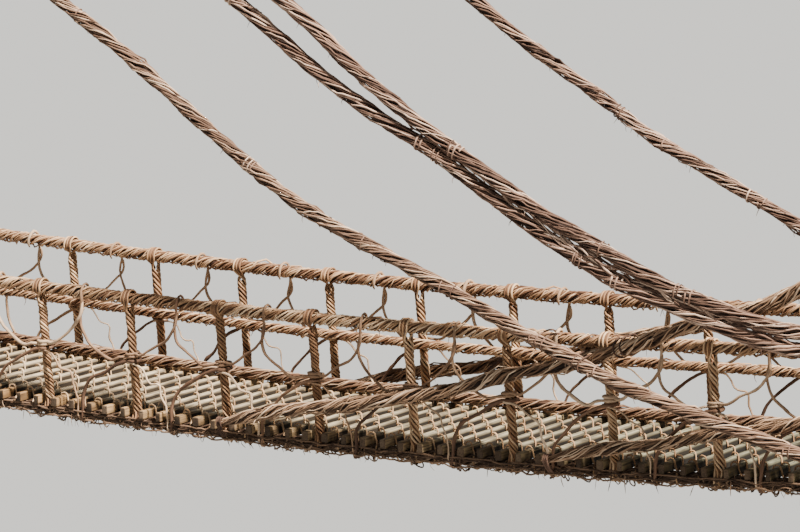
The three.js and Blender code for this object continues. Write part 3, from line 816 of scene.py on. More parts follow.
def arc(centre, across, up, radius, start, end, count):
    angles = np.linspace(start, end, count)
    return [centre + radius * (math.sin(a) * across + math.cos(a) * up) for a in angles]


def postLine(station, side):
    foot = footX(station)
    head = foot - deck["postLean"]
    height = railHeight(side)
    shift = deck["postLean"] * post["footShift"] / height
    low = np.array([foot + shift, side * deck["railY"], deckTop(foot) - deck["bearerDepth"]])
    high = np.array([head, side * deck["railY"], deckTop(head) + height])
    return low, high


def postVines(rng, station, side):
    low, high = postLine(station, side)
    length = np.linalg.norm(high - low)
    axis = (high - low) / length
    across = np.array([0.0, float(side), 0.0])
    along = np.cross(axis, across) * side
    up = np.array([0.0, 0.0, 1.0])
    spans = np.linspace(0.0, 1.0, int(length / post["step"]))
    heights = post["footGap"] + spans * (length - post["footGap"] - post["headGap"])
    bow = rng.uniform(-1, 1) * post["bow"] * np.sin(math.pi * spans)
    loops, turns = post["kinds"][(station + (side > 0)) % len(post["kinds"])]
    twisted = side * 2 * math.pi * turns * (spans + post["quicken"] * spans ** 2) + bow
    twisted *= side * 2 * math.pi * turns / twisted[-1]
    vines = []
    for number in range(2 * loops - 1):
        isThin = number % 2
        loop = number / 2
        size = post["vine"] * (3 / loops) ** 0.5 * rng.uniform(*post["sizes"]) * (post["thin"] if isThin else 1)
        angle = math.pi * (loop + 0.5) / loops
        legs = []
        for sign in (1, -1):
            theta = sign * angle + twisted
            ring = post["ring"] * (1 - post["waist"] * np.sin(math.pi * spans))
            ring = ring + wander(rng, spans * length, post["jitter"], 0.5) + rng.uniform(-1, 0.4) * post["jitter"]
            ring = ring - (post["sunk"] if isThin else 0)
            theta = theta + wander(rng, spans * length, post["sway"], 0.6)
            column = low + np.outer(heights, axis)
            column = column + np.outer(ring * np.cos(theta), along) + np.outer(ring * np.sin(theta), across)
            legs.append(list(column))
        offset = along * post["spread"] * ((loops - 1) / 2 - loop)
        over = post["overRail"] + size + rng.uniform(0, post["overRoom"])
        under = post["underBearer"] + size
        points = legs[0] + arc(high + offset, across, up, over, *post["headArc"])
        points += legs[1][::-1] + arc(low + offset * post["footSpread"], across, up, under, *post["footArc"])
        line = smoothRing(points, post["ropeStep"])
        radii = size * (1 + wander(rng, distances(line), post["lumps"], 0.4))
        vines.append(vine(line, radii, rng.uniform(*post["thinTones" if isThin else "tones"]), True))
    core = low + np.outer(heights, axis)
    vines.append(vine(core[::4], np.full(len(core[::4]), post["core"]), 0.5, False, True))
    return vines


def makePosts():
    for side, prefix in ((-1, "near"), (1, "far")):
        for station in range(deck["stationCount"]):
            rng = random.Random(125 + station + 25 * side)
            name = f"{prefix}_post_{station + 1}"
            setPiece(growVines(f"{name}_vines", postVines(rng, station, side), "postVine"), "vine_rope", name)


makePosts()
print("posts looped")


# Nets: in each bay two vines leave a hoop over the rail, wrap a post each and meet at the deck's edge.
net = {
    "planeY": 1.049, "knotHeight": 0.54, "shifts": (-0.04, 0.03), "footPlace": 0.4, "nearVine": 0.0155,
    "farVine": 0.0142, "railReach": 0.081, "postReach": 0.07, "bearerReach": 0.071, "bearerSlant": 0.02, "sag": 0.04,
    "sags": (0.3, 1.6), "step": 0.035, "stem": 0.26, "lumps": 0.15, "wobble": 0.006, "thinWobble": 0.009,
    # The far net's tones are paler: painted light over the far rail's shadow.
    "tones": ((0.35, 0.9), (0.65, 0.9)), "lowTones": (0.0, 0.35), "thinTones": (0.6, 1.0),
    "sizes": (0.85, 1.1), "lowSizes": (0.95, 1.2), "thinSizes": (0.55, 0.75), "startLow": 1.1, "footHalf": 0.022,
    "startHoop": 0.52, "startFoot": 0.314, "startGap": 0.21, "turnStep": 0.6,
    "wrap": {"radius": 0.054, "length": 0.03, "vine": 0.009, "turns": (0, 1, 1, 2), "shifts": (-0.03, 0.02)},
}
hoopTurns = (  # a hoop round the rail: along it, then outward and up in reaches
    (-0.035, -0.5, -0.95), (-0.028, -0.98, -0.3), (-0.012, -0.75, 0.68), (0.0, -0.05, 1.07), (0.006, 0.68, 0.68),
    (0.01, 0.97, -0.1), (0.01, 0.95, -1.1),
)
bearerTurns = ((0.0, 0.0), (0.4, -0.3), (0.75, -1.0), (1.1, -1.9), (1.35, -3.0), (1.6, -4.0))  # along it, and angle


def netHoop(side, x):
    centre = railPlace(side, x)
    reach = net["railReach"]
    return [centre + np.array([dx, side * out * reach, up * reach]) for dx, out, up in hoopTurns]


def aroundPost(station, side, height, start, turn, rise):
    low, high = postLine(station, side)
    t = (deckTop(footX(station)) + height - low[2]) / (high[2] - low[2])
    centre = low + (high - low) * t
    reach = net["postReach"]
    count = int(abs(turn) / net["turnStep"]) + 2
    points = []
    for k in range(count):
        angle = start + turn * k / (count - 1)
        up = rise * (k / (count - 1) - 0.5)
        points.append(centre + np.array([reach * math.cos(angle), side * reach * math.sin(angle), up]))
    return points


def aroundBearer(x, side, slant):
    centre = bearerPlace(side, x)
    reach = net["bearerReach"]
    return [centre + np.array([
        slant * net["bearerSlant"] * dx, side * reach * math.cos(angle), reach * math.sin(angle),
    ]) for dx, angle in bearerTurns]


def netPlace(side, x, up, out=0.0):
    return np.array([x, side * (net["planeY"] + out), deckTop(x) + up])


def netRun(side, x, up, offsets):  # each offset is along the bridge, up and, if need be, outward
    return [netPlace(side, x + dx, up + dz, *out) for dx, dz, *out in offsets]


def hoopStem(side, hoop):  # up into a hoop
    top = railHeight(side)
    stem = netRun(side, hoop, top - net["stem"], ((-0.015, 0.015, 0.022), (0.014, 0.07, 0.018)))
    return stem + netRun(side, hoop, top, ((0.02, -0.12, 0.008), (0.012, -0.075, -0.014)))


def hoopLeg(side, hoop):  # round the rail and down
    return netHoop(side, hoop) + netRun(side, hoop, railHeight(side), ((-0.015, -0.23), (0.02, -0.36)))


def netVine(rng, points, size, wobble=net["wobble"]):
    return looseVine(rng, points, size, net["step"], net["lumps"], wobble)


def netVines(rng, side):
    bayLength = deck["slatPitch"] * deck["slatsPerBay"]
    size = net["nearVine"] if side < 0 else net["farVine"]
    stations = range(deck["stationCount"])
    posts = [footX(station) - deck["postLean"] / 2 for station in stations]
    hoops = [place + bayLength / 2 + rng.uniform(*net["shifts"]) for place in posts[:-1]]
    heights = [net["knotHeight"] + rng.uniform(*net["shifts"]) for _ in stations]
    vines = []
    for station in stations:
        knot = heights[station]
        place = posts[station]
        points = []
        if station > 0:  # from the last bay's hoop down to the post
            sag = net["sag"] * rng.uniform(*net["sags"])
            points += hoopLeg(side, hoops[station - 1])
            points += netRun(side, hoops[station - 1], knot - sag, ((0.15, 0.09),))
            points += netRun(side, place, knot - sag, ((-0.2, -0.01),)) + netRun(side, place, knot, ((-0.1, -0.01),))
        points += aroundPost(station, side, knot + 0.01, 2.3, -7.9, 0.035)
        if station < len(posts) - 1:  # and up into the next hoop
            points += netRun(side, place, knot, ((0.14, 0.02), (0.28, 0.11)))
            points += netRun(side, hoops[station], railHeight(side) - net["stem"], ((-0.1, -0.08),))
            points += hoopStem(side, hoops[station])
        vines.append(netVine(rng, points, size * rng.uniform(*net["sizes"])))
        # The far side's paler tones are painted light.
        vines[-1]["tone"] = rng.uniform(*net["tones"][side > 0])
        if station < len(posts) - 1:
            foot = footX(station) + bayLength * net["footPlace"]
            low = heights[station + 1]
            points = aroundPost(station + 1, side, low - 0.035, -3.6, 5.6, -0.03)  # from the next post to the deck
            points += netRun(side, posts[station + 1], low, ((-0.14, -0.09), (-0.3, -0.19)))
            points += netRun(side, foot, 0.0, ((0.13, 0.2 + rng.uniform(-0.03, 0.05)), (0.04, 0.08)))
            points += aroundBearer(foot + net["footHalf"], side, -1)
            vines.append(netVine(rng, points, size * rng.uniform(*net["lowSizes"])))
            vines[-1]["tone"] = rng.uniform(*net["lowTones"])
            points = aroundPost(station, side, knot - 0.05, 6.6, -5.4, -0.03)  # a thin one, from this post to the deck
            slack = rng.uniform(-0.05, 0.05)
            points += netRun(side, place, knot, ((0.14, -0.09), (0.24, -0.2 + slack), (0.36, -0.24)))
            points += netRun(side, foot, 0.0, ((-0.09, 0.17), (-0.03, 0.04)))
            points += aroundBearer(foot - net["footHalf"], side, 1)
            vines.append(netVine(rng, points, size * rng.uniform(*net["thinSizes"]), net["thinWobble"]))
            vines[-1]["tone"] = rng.uniform(*net["thinTones"])
    return vines


def startVines(rng, side):  # the half bay left of the first posts
    size = net["nearVine"] if side < 0 else net["farVine"]
    stem = railHeight(side) - net["stem"]
    place = footX(0) - deck["postLean"] / 2
    hoop = place - net["startHoop"]
    foot = net["startFoot"]
    knot = net["knotHeight"]
    points = hoopLeg(side, hoop) + netRun(side, hoop, knot, ((0.15, 0.08),))
    points += netRun(side, place, knot, ((-0.2, -0.04), (-0.1, -0.03)))
    points += aroundPost(0, side, knot - 0.02, 2.3, -5.2, 0.02)
    vines = [netVine(rng, points, size)]
    points = hoopStem(side, hoop)[::-1] + netRun(side, hoop, stem, ((-0.12, -0.09), (-0.32, -0.22)))
    points += netRun(side, foot, 0.0, ((-0.16, 0.42), (-0.13, 0.2), (-0.04, 0.05))) + aroundBearer(foot, side, 1)
    vines.append(netVine(rng, points, size))
    points = aroundPost(0, side, knot - 0.08, -3.6, 5.6, -0.03)
    points += netRun(side, place, knot, ((-0.14, -0.14), (-0.3, -0.24)))
    points += netRun(side, foot, 0.0, ((0.33, 0.2), (0.23, 0.06))) + aroundBearer(foot + net["startGap"], side, -1)
    vines.append(netVine(rng, points, size * net["startLow"]))
    for item in vines:
        item["tone"] = rng.uniform(*net["tones"][side > 0])
    return vines


def postWraps(rng, station, side):
    wrap = net["wrap"]
    low, high = postLine(station, side)
    t = (deckTop(footX(station)) + net["knotHeight"] - low[2]) / (high[2] - low[2])
    centre = low + (high - low) * (t + rng.uniform(*wrap["shifts"]))
    turns = rng.choice(wrap["turns"])
    if not turns:
        return []
    return [binding(rng, centre, high - low, wrap["radius"], wrap["length"] * turns, turns, wrap["vine"])]


def makeNets():
    for side, name in ((-1, "near_net"), (1, "far_net")):
        rng = random.Random(210 + side)
        vines = netVines(rng, side)
        for station in range(deck["stationCount"]):
            vines += postWraps(rng, station, side)
        vines += startVines(random.Random(230 + side), side)
        setPiece(growVines(f"{name}_vines", vines, "netVine"), "thin_vine", name)


makeNets()
print("nets tied")


# Slats: six hewn bars modelled once, then copied into place with small differences.
# The tone's slope paints shade down the bars' sides; the lift at their ends paints them paler, as if sunlit.
slat = {
    "masters": 6, "cuts": 13, "edgeBevel": 0.012, "endBevel": 0.006, "unevenness": 0.0035, "firstSeed": 3,
    "shift": 0.004, "stagger": 0.014, "yaw": 0.009, "roll": 0.07, "drop": 0.003, "smooth": 40.0, "widths": (0.54, 0.8),
    "heights": (0.95, 1.0), "tones": (0.12, 0.6), "paintedShadeSlope": 42.0, "paintedShadeMiddle": 0.0255, "endFrom": 0.78,
    "endReach": 0.07, "endFade": 0.95, "endPaintedLight": 0.25, "hair": 0.001, "shortest": 0.01, "endNormal": 0.6,
}


def selectEdges(item, wanted):
    bpy.ops.object.mode_set(mode="EDIT")
    bpy.ops.mesh.select_mode(type="EDGE")
    bpy.ops.mesh.select_all(action="DESELECT")
    bpy.ops.object.mode_set(mode="OBJECT")
    places = [vertex.co for vertex in item.data.vertices]
    for edge in item.data.edges:
        first, second = edge.vertices
        edge.select = bool(wanted(places[first], places[second]))
    bpy.ops.object.mode_set(mode="EDIT")


def makeSlatMaster(number):
    bpy.ops.mesh.primitive_cube_add(size=1.0, location=(0, 0, 0))
    bar = bpy.context.object
    half = Vector((deck["slatWidth"], deck["slatLength"], deck["slatThickness"])) / 2
    bpy.ops.object.mode_set(mode="EDIT")
    bpy.ops.mesh.select_all(action="SELECT")
    bpy.ops.transform.resize(value=tuple(half * 2))
    selectEdges(bar, lambda a, b: abs(a.y - b.y) > half.y)
    bpy.ops.mesh.subdivide(number_cuts=slat["cuts"])
    selectEdges(bar, lambda a, b: abs(a.y - b.y) > slat["shortest"])
    bpy.ops.mesh.bevel(offset=slat["edgeBevel"], segments=2, affect="EDGES")
    selectEdges(bar, lambda a, b: min(abs(a.y), abs(b.y)) > half.y - slat["hair"])
    bpy.ops.mesh.bevel(offset=slat["endBevel"], segments=1, affect="EDGES")
    bpy.ops.mesh.select_all(action="SELECT")
    bpy.ops.transform.vertex_random(offset=slat["unevenness"], seed=number + slat["firstSeed"])
    bpy.ops.mesh.normals_make_consistent(inside=False)
    bpy.ops.object.mode_set(mode="OBJECT")
    bar.data.materials.append(finishes["slatWood"])
    bar.data.materials.append(finishes["slatEnd"])
    for face in bar.data.polygons:
        face.material_index = 1 if abs(face.normal.y) > slat["endNormal"] else 0
    bpy.ops.object.shade_smooth_by_angle(angle=math.radians(slat["smooth"]))
    return bar


# Painted shade: the slope darkens each bar's sides below its top; at the ends it fades, and the lift is painted
# sunlight.
def setTone(mesh, tone, middle=0.0, slope=0.0):  # paler toward the top by the slope, which fades out at the ends
    places = np.empty(len(mesh.vertices) * 3)
    mesh.vertices.foreach_get("co", places)
    attribute = mesh.attributes.new("tone", "FLOAT", "POINT")
    fade = 1 - slat["endFade"] * np.clip((np.abs(places[1::3]) - slat["endFrom"]) / slat["endReach"], 0, 1)
    lift = slat["endPaintedLight"] * (1 - fade) if slope else 0.0
    attribute.data.foreach_set("value", tone + lift + slope * fade * (places[2::3] - middle))


def joinCopies(copies, name):
    bpy.ops.object.select_all(action="DESELECT")
    for item in copies:
        item.select_set(True)
    bpy.context.view_layer.objects.active = copies[0]
    bpy.ops.object.join()
    bpy.context.object.name = name
    return bpy.context.object


def makeDeck():
    rng = random.Random(61)
    masters = [makeSlatMaster(number) for number in range(slat["masters"])]
    for piece in range(deck["slatCount"] // deck["slatsPerPiece"]):
        bars = []
        for number in range(piece * deck["slatsPerPiece"], (piece + 1) * deck["slatsPerPiece"]):
            bar = rng.choice(masters).copy()
            bar.data = bar.data.copy()
            bpy.context.collection.objects.link(bar)
            x = deck["slatPitch"] * number
            z = deckTop(x) - deck["slatThickness"] / 2 - rng.uniform(0, slat["drop"])
            turn = Matrix.Rotation(rng.uniform(-1, 1) * slat["yaw"], 4, "Z")
            turn = turn @ Matrix.Rotation(rng.uniform(-1, 1) * slat["roll"], 4, "Y")
            turn = turn @ Matrix.Rotation(rng.choice((0.0, math.pi)), 4, "Z")
            size = Matrix.Diagonal((rng.uniform(*slat["widths"]), 1.0, rng.uniform(*slat["heights"]), 1.0))
            place = (x + rng.uniform(-1, 1) * slat["shift"], rng.uniform(-1, 1) * slat["stagger"], z)
            bar.data.transform(Matrix.Translation(place) @ turn @ size)
            setTone(bar.data, rng.uniform(*slat["tones"]), z + slat["paintedShadeMiddle"], slat["paintedShadeSlope"])
            bars.append(bar)
        setPiece(joinCopies(bars, f"slats_{piece + 1}"), "slat_wood", f"deck_slats_{piece + 1}")
    for master in masters:
        bpy.data.objects.remove(master, do_unlink=True)


makeDeck()
print("slats laid")


# Lashings: eight lines of thin vine that arch over every slat, and light vines laid along beneath them.
lashing = {
    "rows": (-0.955, -0.7, -0.43, -0.14, 0.14, 0.43, 0.7, 0.955), "edgeFrom": 0.9, "vine": 0.0088, "arch": 0.016,
    "arches": (0.6, 1.5), "shift": 0.04, "edgeShift": 0.014, "jitter": 0.003, "dip": 0.128, "step": 0.021,
    "toneFrom": 0.92, "toneTo": 0.38, "toneWander": 0.22, "lumps": 0.16,
    "under": 0.0125, "underStep": 0.08, "underGap": 0.002, "underOverrun": 0.1,
}
overSlat = (  # along the bridge, outward, above the slat's top
    (-0.085, 0.012, -0.115), (-0.056, 0.012, -0.07), (-0.043, 0.01, -0.03), (-0.037, 0.006, 0.3), (-0.018, 0.0, 0.95),
    (0.012, -0.01, 1.0), (0.034, -0.02, 0.35), (0.043, -0.026, -0.022), (0.05, -0.03, -0.06), (0.075, -0.028, -0.105),
)
overSlatAndBearer = (
    (-0.05, -0.07, -0.06), (-0.042, -0.07, -0.02), (-0.034, -0.07, 0.35), (-0.014, -0.07, 0.95), (0.014, -0.066, 1.0),
    (0.034, -0.06, 0.35), (0.05, -0.052, -0.02), (0.066, -0.04, -0.05), (0.085, -0.02, -0.07), (0.108, 0.02, -0.074),
    (0.124, 0.055, -0.09), (0.134, 0.078, -0.13), (0.14, 0.066, -0.17), (0.147, 0.02, -0.203), (0.153, -0.04, -0.178),
    (0.157, -0.064, -0.13),
)


def lashingRow(rng, row):
    outward = math.copysign(1.0, row)
    isEdge = abs(row) > lashing["edgeFrom"]
    size = lashing["vine"]
    points = []
    for number in range(deck["slatCount"]):
        x = deck["slatPitch"] * number
        top = deckTop(x)
        y = row + rng.uniform(-1, 1) * lashing["edgeShift" if isEdge else "shift"]
        arch = lashing["arch"] * rng.uniform(*lashing["arches"])
        for dx, out, dz in overSlatAndBearer if isEdge else overSlat:
            height = arch * dz + size * 0.8 if dz > 0 else dz
            away = outward * out if isEdge else out
            points.append((x + dx + rng.uniform(-1, 1) * lashing["jitter"], y + away, top + height))
        if not isEdge:
            points.append((x + deck["slatPitch"] / 2, row, top - lashing["dip"]))
    if not isEdge:
        points = points[:-1]
    line = smoothRoute(points, lashing["step"], 4)
    along = distances(line)
    # Painted shade: the lashings darken from left to right, where the deck's right part lies in shade.
    tone = lashing["toneFrom"] + (lashing["toneTo"] - lashing["toneFrom"]) * line[:, 0] / rightBeamX
    radii = size * (1 + wander(rng, along, lashing["lumps"], 0.3))
    return vine(line, radii, tone + wander(rng, along, lashing["toneWander"], 1.3))


def underVine(rng, row):
    depth = deck["slatThickness"] + lashing["under"] + lashing["underGap"]
    path = sagLine(-lashing["underOverrun"], rightBeamX + lashing["underOverrun"], row, -depth, lashing["underStep"])
    path[:, 1] += wander(rng, distances(path), 0.012, 1.1)
    path[:, 2] -= np.abs(wander(rng, distances(path), 0.008, 0.7))
    return vine(path, knobbly(rng, path, lashing["under"], 0.14), rng.random())


def makeLashings():
    rng = random.Random(73)
    vines = [lashingRow(rng, row) for row in lashing["rows"]]
    setPiece(growVines("deck_lashings", vines, "lashVine", resolution=0), "thin_vine")
    vines = [underVine(rng, row) for row in lashing["rows"][1:-1]]
    setPiece(growVines("under_vines", vines, "shadeVine"), "thin_vine")


makeLashings()
print("slats lashed")


# Edges: the tangle of vines, loops and frays that hangs round the edge bearers under the slat ends. Loops and frays
# are counts a slat; the gap rows rise between the slats.
tangle = {
    "overrun": 0.1, "strands": 6, "strand": 0.0075, "strandSizes": (0.7, 1.25), "step": 0.05, "insideY": 1.031,
    "outsideY": 1.062, "high": -0.094, "low": -0.185, "strandStarts": (-0.1, 0.6), "strandEnds": (-0.6, 0.1),
    "lumps": 0.16, "floor": 0.022, "clear": 0.012, "loops": 2.4, "loop": 0.0068, "loopWide": (0.06, 0.078),
    "loopTall": (0.058, 0.085), "loopSlant": 0.07, "loopPoints": 11, "loopTurn": 0.63, "loopDrift": 0.012,
    "loopClear": 0.008, "frays": 1.6, "fray": 0.0035, "frayLengths": (0.04, 0.15), "longFrays": (0.15, 0.26),
    "longFrom": 0.85, "fraySwing": 0.05,
    "gapRows": (0.85, 0.865, 0.88, 0.925, 0.945, 0.965, 0.985, 1.005), "gapDip": 0.013, "gapRise": 0.055,
    "gapClear": 0.011, "highRows": 0.9, "highRises": (0.9, 1.2), "lowRises": (0.3, 0.5), "gapThick": 1.4,
    "farShare": 0.5,
    "loopSizes": (0.7, 1.3), "loopVine": (0.03, 0.15, 0.003),  # step, lumps and wobble
    "fraySizes": (0.7, 1.5), "frayVine": (0.025, 0.1, 0.002, 0.3),  # and how thin the tips are
}


def slatUnderside(x):
    return deckTop(x) - deck["slatThickness"]


def tangleStrand(rng, side, number):
    start = rng.uniform(*tangle["strandStarts"])
    x = np.arange(start, rightBeamX + rng.uniform(*tangle["strandEnds"]), tangle["step"])
    height = tangle["high"] + (tangle["low"] - tangle["high"]) * (number + 0.5) / tangle["strands"]
    z = deckTop(x) + height + wander(rng, x, 0.022, 0.7) + wander(rng, x, 0.01, 0.21)
    y = side * (tangle["insideY"] + (tangle["outsideY"] - tangle["insideY"]) * (0.5 + wander(rng, x, 0.5, 0.5)))
    z = np.clip(z, tangle["floor"], slatUnderside(x) - tangle["clear"])
    path = np.column_stack([x, y, z])
    size = tangle["strand"] * rng.uniform(*tangle["strandSizes"])
    return vine(path, knobbly(rng, path, size, tangle["lumps"]), rng.random())


def gapStrand(rng, side, y):
    x = np.arange(-tangle["overrun"], rightBeamX + tangle["overrun"], deck["slatPitch"] / 6)
    wave = np.cos(2 * math.pi * x / deck["slatPitch"])  # 1 under a slat, -1 between two
    rise = tangle["gapRise"] * rng.uniform(*tangle["highRises" if y < tangle["highRows"] else "lowRises"])
    z = slatUnderside(x) - tangle["gapDip"] + np.maximum(-wave, 0) ** 1.2 * rise
    z += wander(rng, x, 0.01, 0.6)
    z = np.where(wave > -0.2, np.minimum(z, slatUnderside(x) - tangle["gapClear"]), z)
    path = np.column_stack([x, side * (y + wander(rng, x, 0.012, 0.5)), z])
    size = tangle["strand"] * tangle["gapThick"]
    return vine(path, knobbly(rng, path, size, tangle["lumps"]), rng.uniform(0.0, 0.5))


def tangleLoop(rng, side, x):
    centre = deckTop(x) - deck["bearerDepth"] - rng.uniform(-0.01, 0.02)
    wide = rng.uniform(*tangle["loopWide"])
    tall = rng.uniform(*tangle["loopTall"])
    slant = rng.uniform(-1, 1) * tangle["loopSlant"]
    points = []
    start = rng.uniform(0, 6.28)
    for k in range(tangle["loopPoints"]):
        angle = start + k * tangle["loopTurn"]
        z = min(centre + tall * math.sin(angle), slatUnderside(x) - tangle["loopClear"])
        points.append((
            x + slant * math.sin(angle) + tangle["loopDrift"] * k * rng.uniform(0.3, 1.0),
            side * (deck["railY"] + wide * math.cos(angle)), max(tangle["floor"], z),
        ))
    return looseVine(rng, points, tangle["loop"] * rng.uniform(*tangle["loopSizes"]), *tangle["loopVine"])


def tangleFray(rng, side, x):
    top = deckTop(x) + rng.uniform(tangle["low"], tangle["high"])
    length = rng.uniform(*tangle["frayLengths" if rng.random() < tangle["longFrom"] else "longFrays"])
    foot = max(tangle["floor"], top - length)
    swing = rng.uniform(-1, 1) * tangle["fraySwing"]
    y = side * rng.uniform(tangle["insideY"], tangle["outsideY"] + 0.012)
    points = [(x, y, top), (x + swing * 0.3, y + side * 0.01, top * 0.6 + foot * 0.4), (x + swing, y, foot)]
    return looseVine(rng, points, tangle["fray"] * rng.uniform(*tangle["fraySizes"]), *tangle["frayVine"])


def makeTangles():
    for side, name in ((-1, "near_edge_tangle"), (1, "far_edge_tangle")):
        rng = random.Random(311 + side)
        vines = [tangleStrand(rng, side, number) for number in range(tangle["strands"])]
        vines += [gapStrand(rng, side, y) for y in tangle["gapRows"]]
        for kind, amount in ((tangleLoop, tangle["loops"]), (tangleFray, tangle["frays"])):
            for _ in range(int(deck["slatCount"] * amount * (1.0 if side < 0 else tangle["farShare"]))):
                vines.append(kind(rng, side, rng.uniform(tangle["overrun"], rightBeamX - tangle["overrun"])))
        setPiece(growVines(name, vines, "shadeVine", resolution=0), "thin_vine")


makeTangles()
print("edges tangled")


# Knots: thin vine wound round two ropes where stays cross, and round a stay and an edge bearer where it starts. The
# three numbers of a crossing, start or end are its rope's radius, the knot's length and its turns.
knots = {
    "vine": 0.0082, "points": 16, "lumps": 0.1, "tones": (0.05, 0.4), "lean": 0.3,
    "crossings": ((7.86, None), (8.3, "near_rising_stay")), "risingCrossing": 8.62, "crossing": (0.069, 0.16, 2.4),
    "starts": (("near_rising_stay", 20.5), ("far_rising_stay", 20.5), ("near_low_stay", 37.5)),  # gaps between slats
    "start": (0.052, 0.06, 3),
    "ends": (10.9, 11.13), "bundleEnd": (0.074, 0.09, 3.4), "farEnd": (0.064, 0.09, 3.4),
    "longEndX": 11.24, "longEnd": (0.068, 0.02, 2.4),
    "wraps": (("near_long_stay", 0.062), ("near_bundle_stay_lower", 0.068), ("near_bundle_stay_upper", 0.068),
              ("far_long_stay", 0.06)),
    "wrapsPerMetre": 1.1, "wrapTurns": (1, 1.5, 2), "wrapLength": 0.05, "wrapSizes": (0.7, 1.1), "wrapMargin": 4,
}


def pairBinding(rng, first, second, direction, radius, length, turns):
    size = knots["vine"]
    direction = np.asarray(direction, dtype=float)
    direction /= np.linalg.norm(direction)
    apart = second - first
    apart -= direction * (apart @ direction)
    wide = np.linalg.norm(apart) / 2 + radius + size
    toward = apart / np.linalg.norm(apart)
    other = np.cross(direction, toward)
    t = np.linspace(0, 1, int(turns * knots["points"]) + 1)
    angle = 2 * math.pi * turns * t + rng.uniform(0, 6)
    tall = (radius + size) * (1.06 + 0.05 * np.sin(7 * t))
    points = (first + second) / 2 + np.outer((t - 0.5) * length, direction)
    points = points + np.outer(wide * np.cos(angle), toward) + np.outer(tall * np.sin(angle), other)
    return vine(points, knobbly(rng, points, size, knots["lumps"]), rng.random())


def nearest(path, x):
    index = int(np.argmin(np.abs(path[:, 0] - x)))
    index = min(max(index, 1), len(path) - 2)
    return path[index], path[index + 1] - path[index - 1]


def looseWraps(rng, path, radius):
    wraps = []
    along = distances(path)
    for _ in range(int(along[-1] * knots["wrapsPerMetre"])):
        index = rng.randrange(knots["wrapMargin"], len(path) - knots["wrapMargin"])
        direction = path[index + 1] - path[index - 1]
        turns = rng.choice(knots["wrapTurns"])
        size = knots["vine"] * rng.uniform(*knots["wrapSizes"])
        wraps.append(binding(rng, path[index], direction, radius, knots["wrapLength"] * turns, turns, size))
    return wraps


# Strands that run between the bundle's two ropes and close the gap toward its right end.
fill = {
    "count": 18, "starts": (7.3, 8.8), "lengths": (1.6, 2.6), "end": 10.5, "step": 0.06, "outward": 0.02,
    "spread": 0.035, "shares": (-0.1, 1.1), "sizes": (0.007, 0.011),
}


def bundleFill(rng, lower, upper):
    vines = []
    for _ in range(fill["count"]):
        start = rng.uniform(*fill["starts"])
        x = np.arange(start, min(fill["end"], start + rng.uniform(*fill["lengths"])), fill["step"])
        low = np.interp(x, lower[:, 0], lower[:, 2])
        high = np.interp(x, upper[:, 0], upper[:, 2])
        y = np.interp(x, lower[:, 0], lower[:, 1]) - fill["outward"] + wander(rng, x, fill["spread"], 1.0)
        share = np.clip(0.5 + wander(rng, x, 0.5, 1.6) + rng.uniform(-0.15, 0.15), *fill["shares"])
        points = np.column_stack([x, y, low + (high - low) * share])
        vines.append(vine(points, knobbly(rng, points, rng.uniform(*fill["sizes"])), rng.random()))
    return vines


def crossingKnots(rng, long, rising):
    vines = []
    for x, partner in knots["crossings"]:
        place, direction = nearest(long, x)
        other = nearest(paths[partner], x)[0] if partner else railPlace(-1, x)
        lean = direction / np.linalg.norm(direction)
        lean = lean + np.array([0.0, rng.uniform(-1, 1) * knots["lean"], 0.0])
        vines.append(pairBinding(rng, place, other, lean, *knots["crossing"]))
    place, direction = nearest(rising, knots["risingCrossing"])
    vines.append(pairBinding(rng, place, railPlace(-1, knots["risingCrossing"]), direction, *knots["crossing"]))
    for node, number in knots["starts"]:
        x = deck["slatPitch"] * number
        place = nearest(paths[node], x)[0]
        bearer = bearerPlace(math.copysign(1.0, place[1]), x)
        vines.append(pairBinding(rng, place, bearer, (1.0, 0.0, 0.0), *knots["start"]))
    for item in vines:
        item["tone"] = rng.uniform(*knots["tones"])
    return vines


def endKnots(rng, long, lower, upper):
    vines = []
    for x in knots["ends"]:
        low, high, away = (nearest(route, x)[0] for route in (lower, upper, paths["far_long_stay"]))
        pairs = (
            (railPlace(-1, x), low, knots["bundleEnd"]), (low, high, knots["bundleEnd"]),
            (railPlace(1, x), away, knots["farEnd"]),
        )
        for first, second, knot in pairs:
            vines.append(pairBinding(rng, first, second, (1.0, 0.0, 0.0), *knot))
    x = knots["longEndX"]
    vines.append(pairBinding(rng, bearerPlace(-1, x), nearest(long, x)[0], (1.0, 0.0, 0.0), *knots["longEnd"]))
    return vines


def makeKnots():
    rng = random.Random(401)
    long = paths["near_long_stay"]
    lower = paths["near_bundle_stay_lower"]
    upper = paths["near_bundle_stay_upper"]
    vines = crossingKnots(rng, long, paths["near_rising_stay"])
    vines += endKnots(rng, long, lower, upper)
    for node, radius in knots["wraps"]:
        vines += looseWraps(rng, paths[node], radius)
    vines += bundleFill(rng, lower, upper)
    keepInside(vines)
    setPiece(growVines("stay_knots", vines, "bundleVine"), "thin_vine")


makeKnots()
print("stays knotted")


# End beams: hewn logs with a flat underside, notched for the bearers and slotted for their lashings.
beam = {
    "radius": 0.115, "length": 2.7, "hewn": 0.02, "sides": 18, "cuts": 21, "unevenness": 0.006, "firstSeed": 5,
    "shrink": (0.95, 0.994, 0.95), "slotWidth": 0.15, "slotDepth": 0.02, "notchRadius": 0.056, "notchSides": 20,
    "endBevel": 0.012, "hair": 0.001, "endNormal": 0.7, "endReach": 0.05, "tone": 0.5, "smooth": 35.0,
    "lashing": 0.0085, "lashingStep": 0.033, "lashingSpreads": (0.0, 0.014), "under": 0.0125, "over": 0.062,
    "beside": 0.062, "around": 0.126,
}


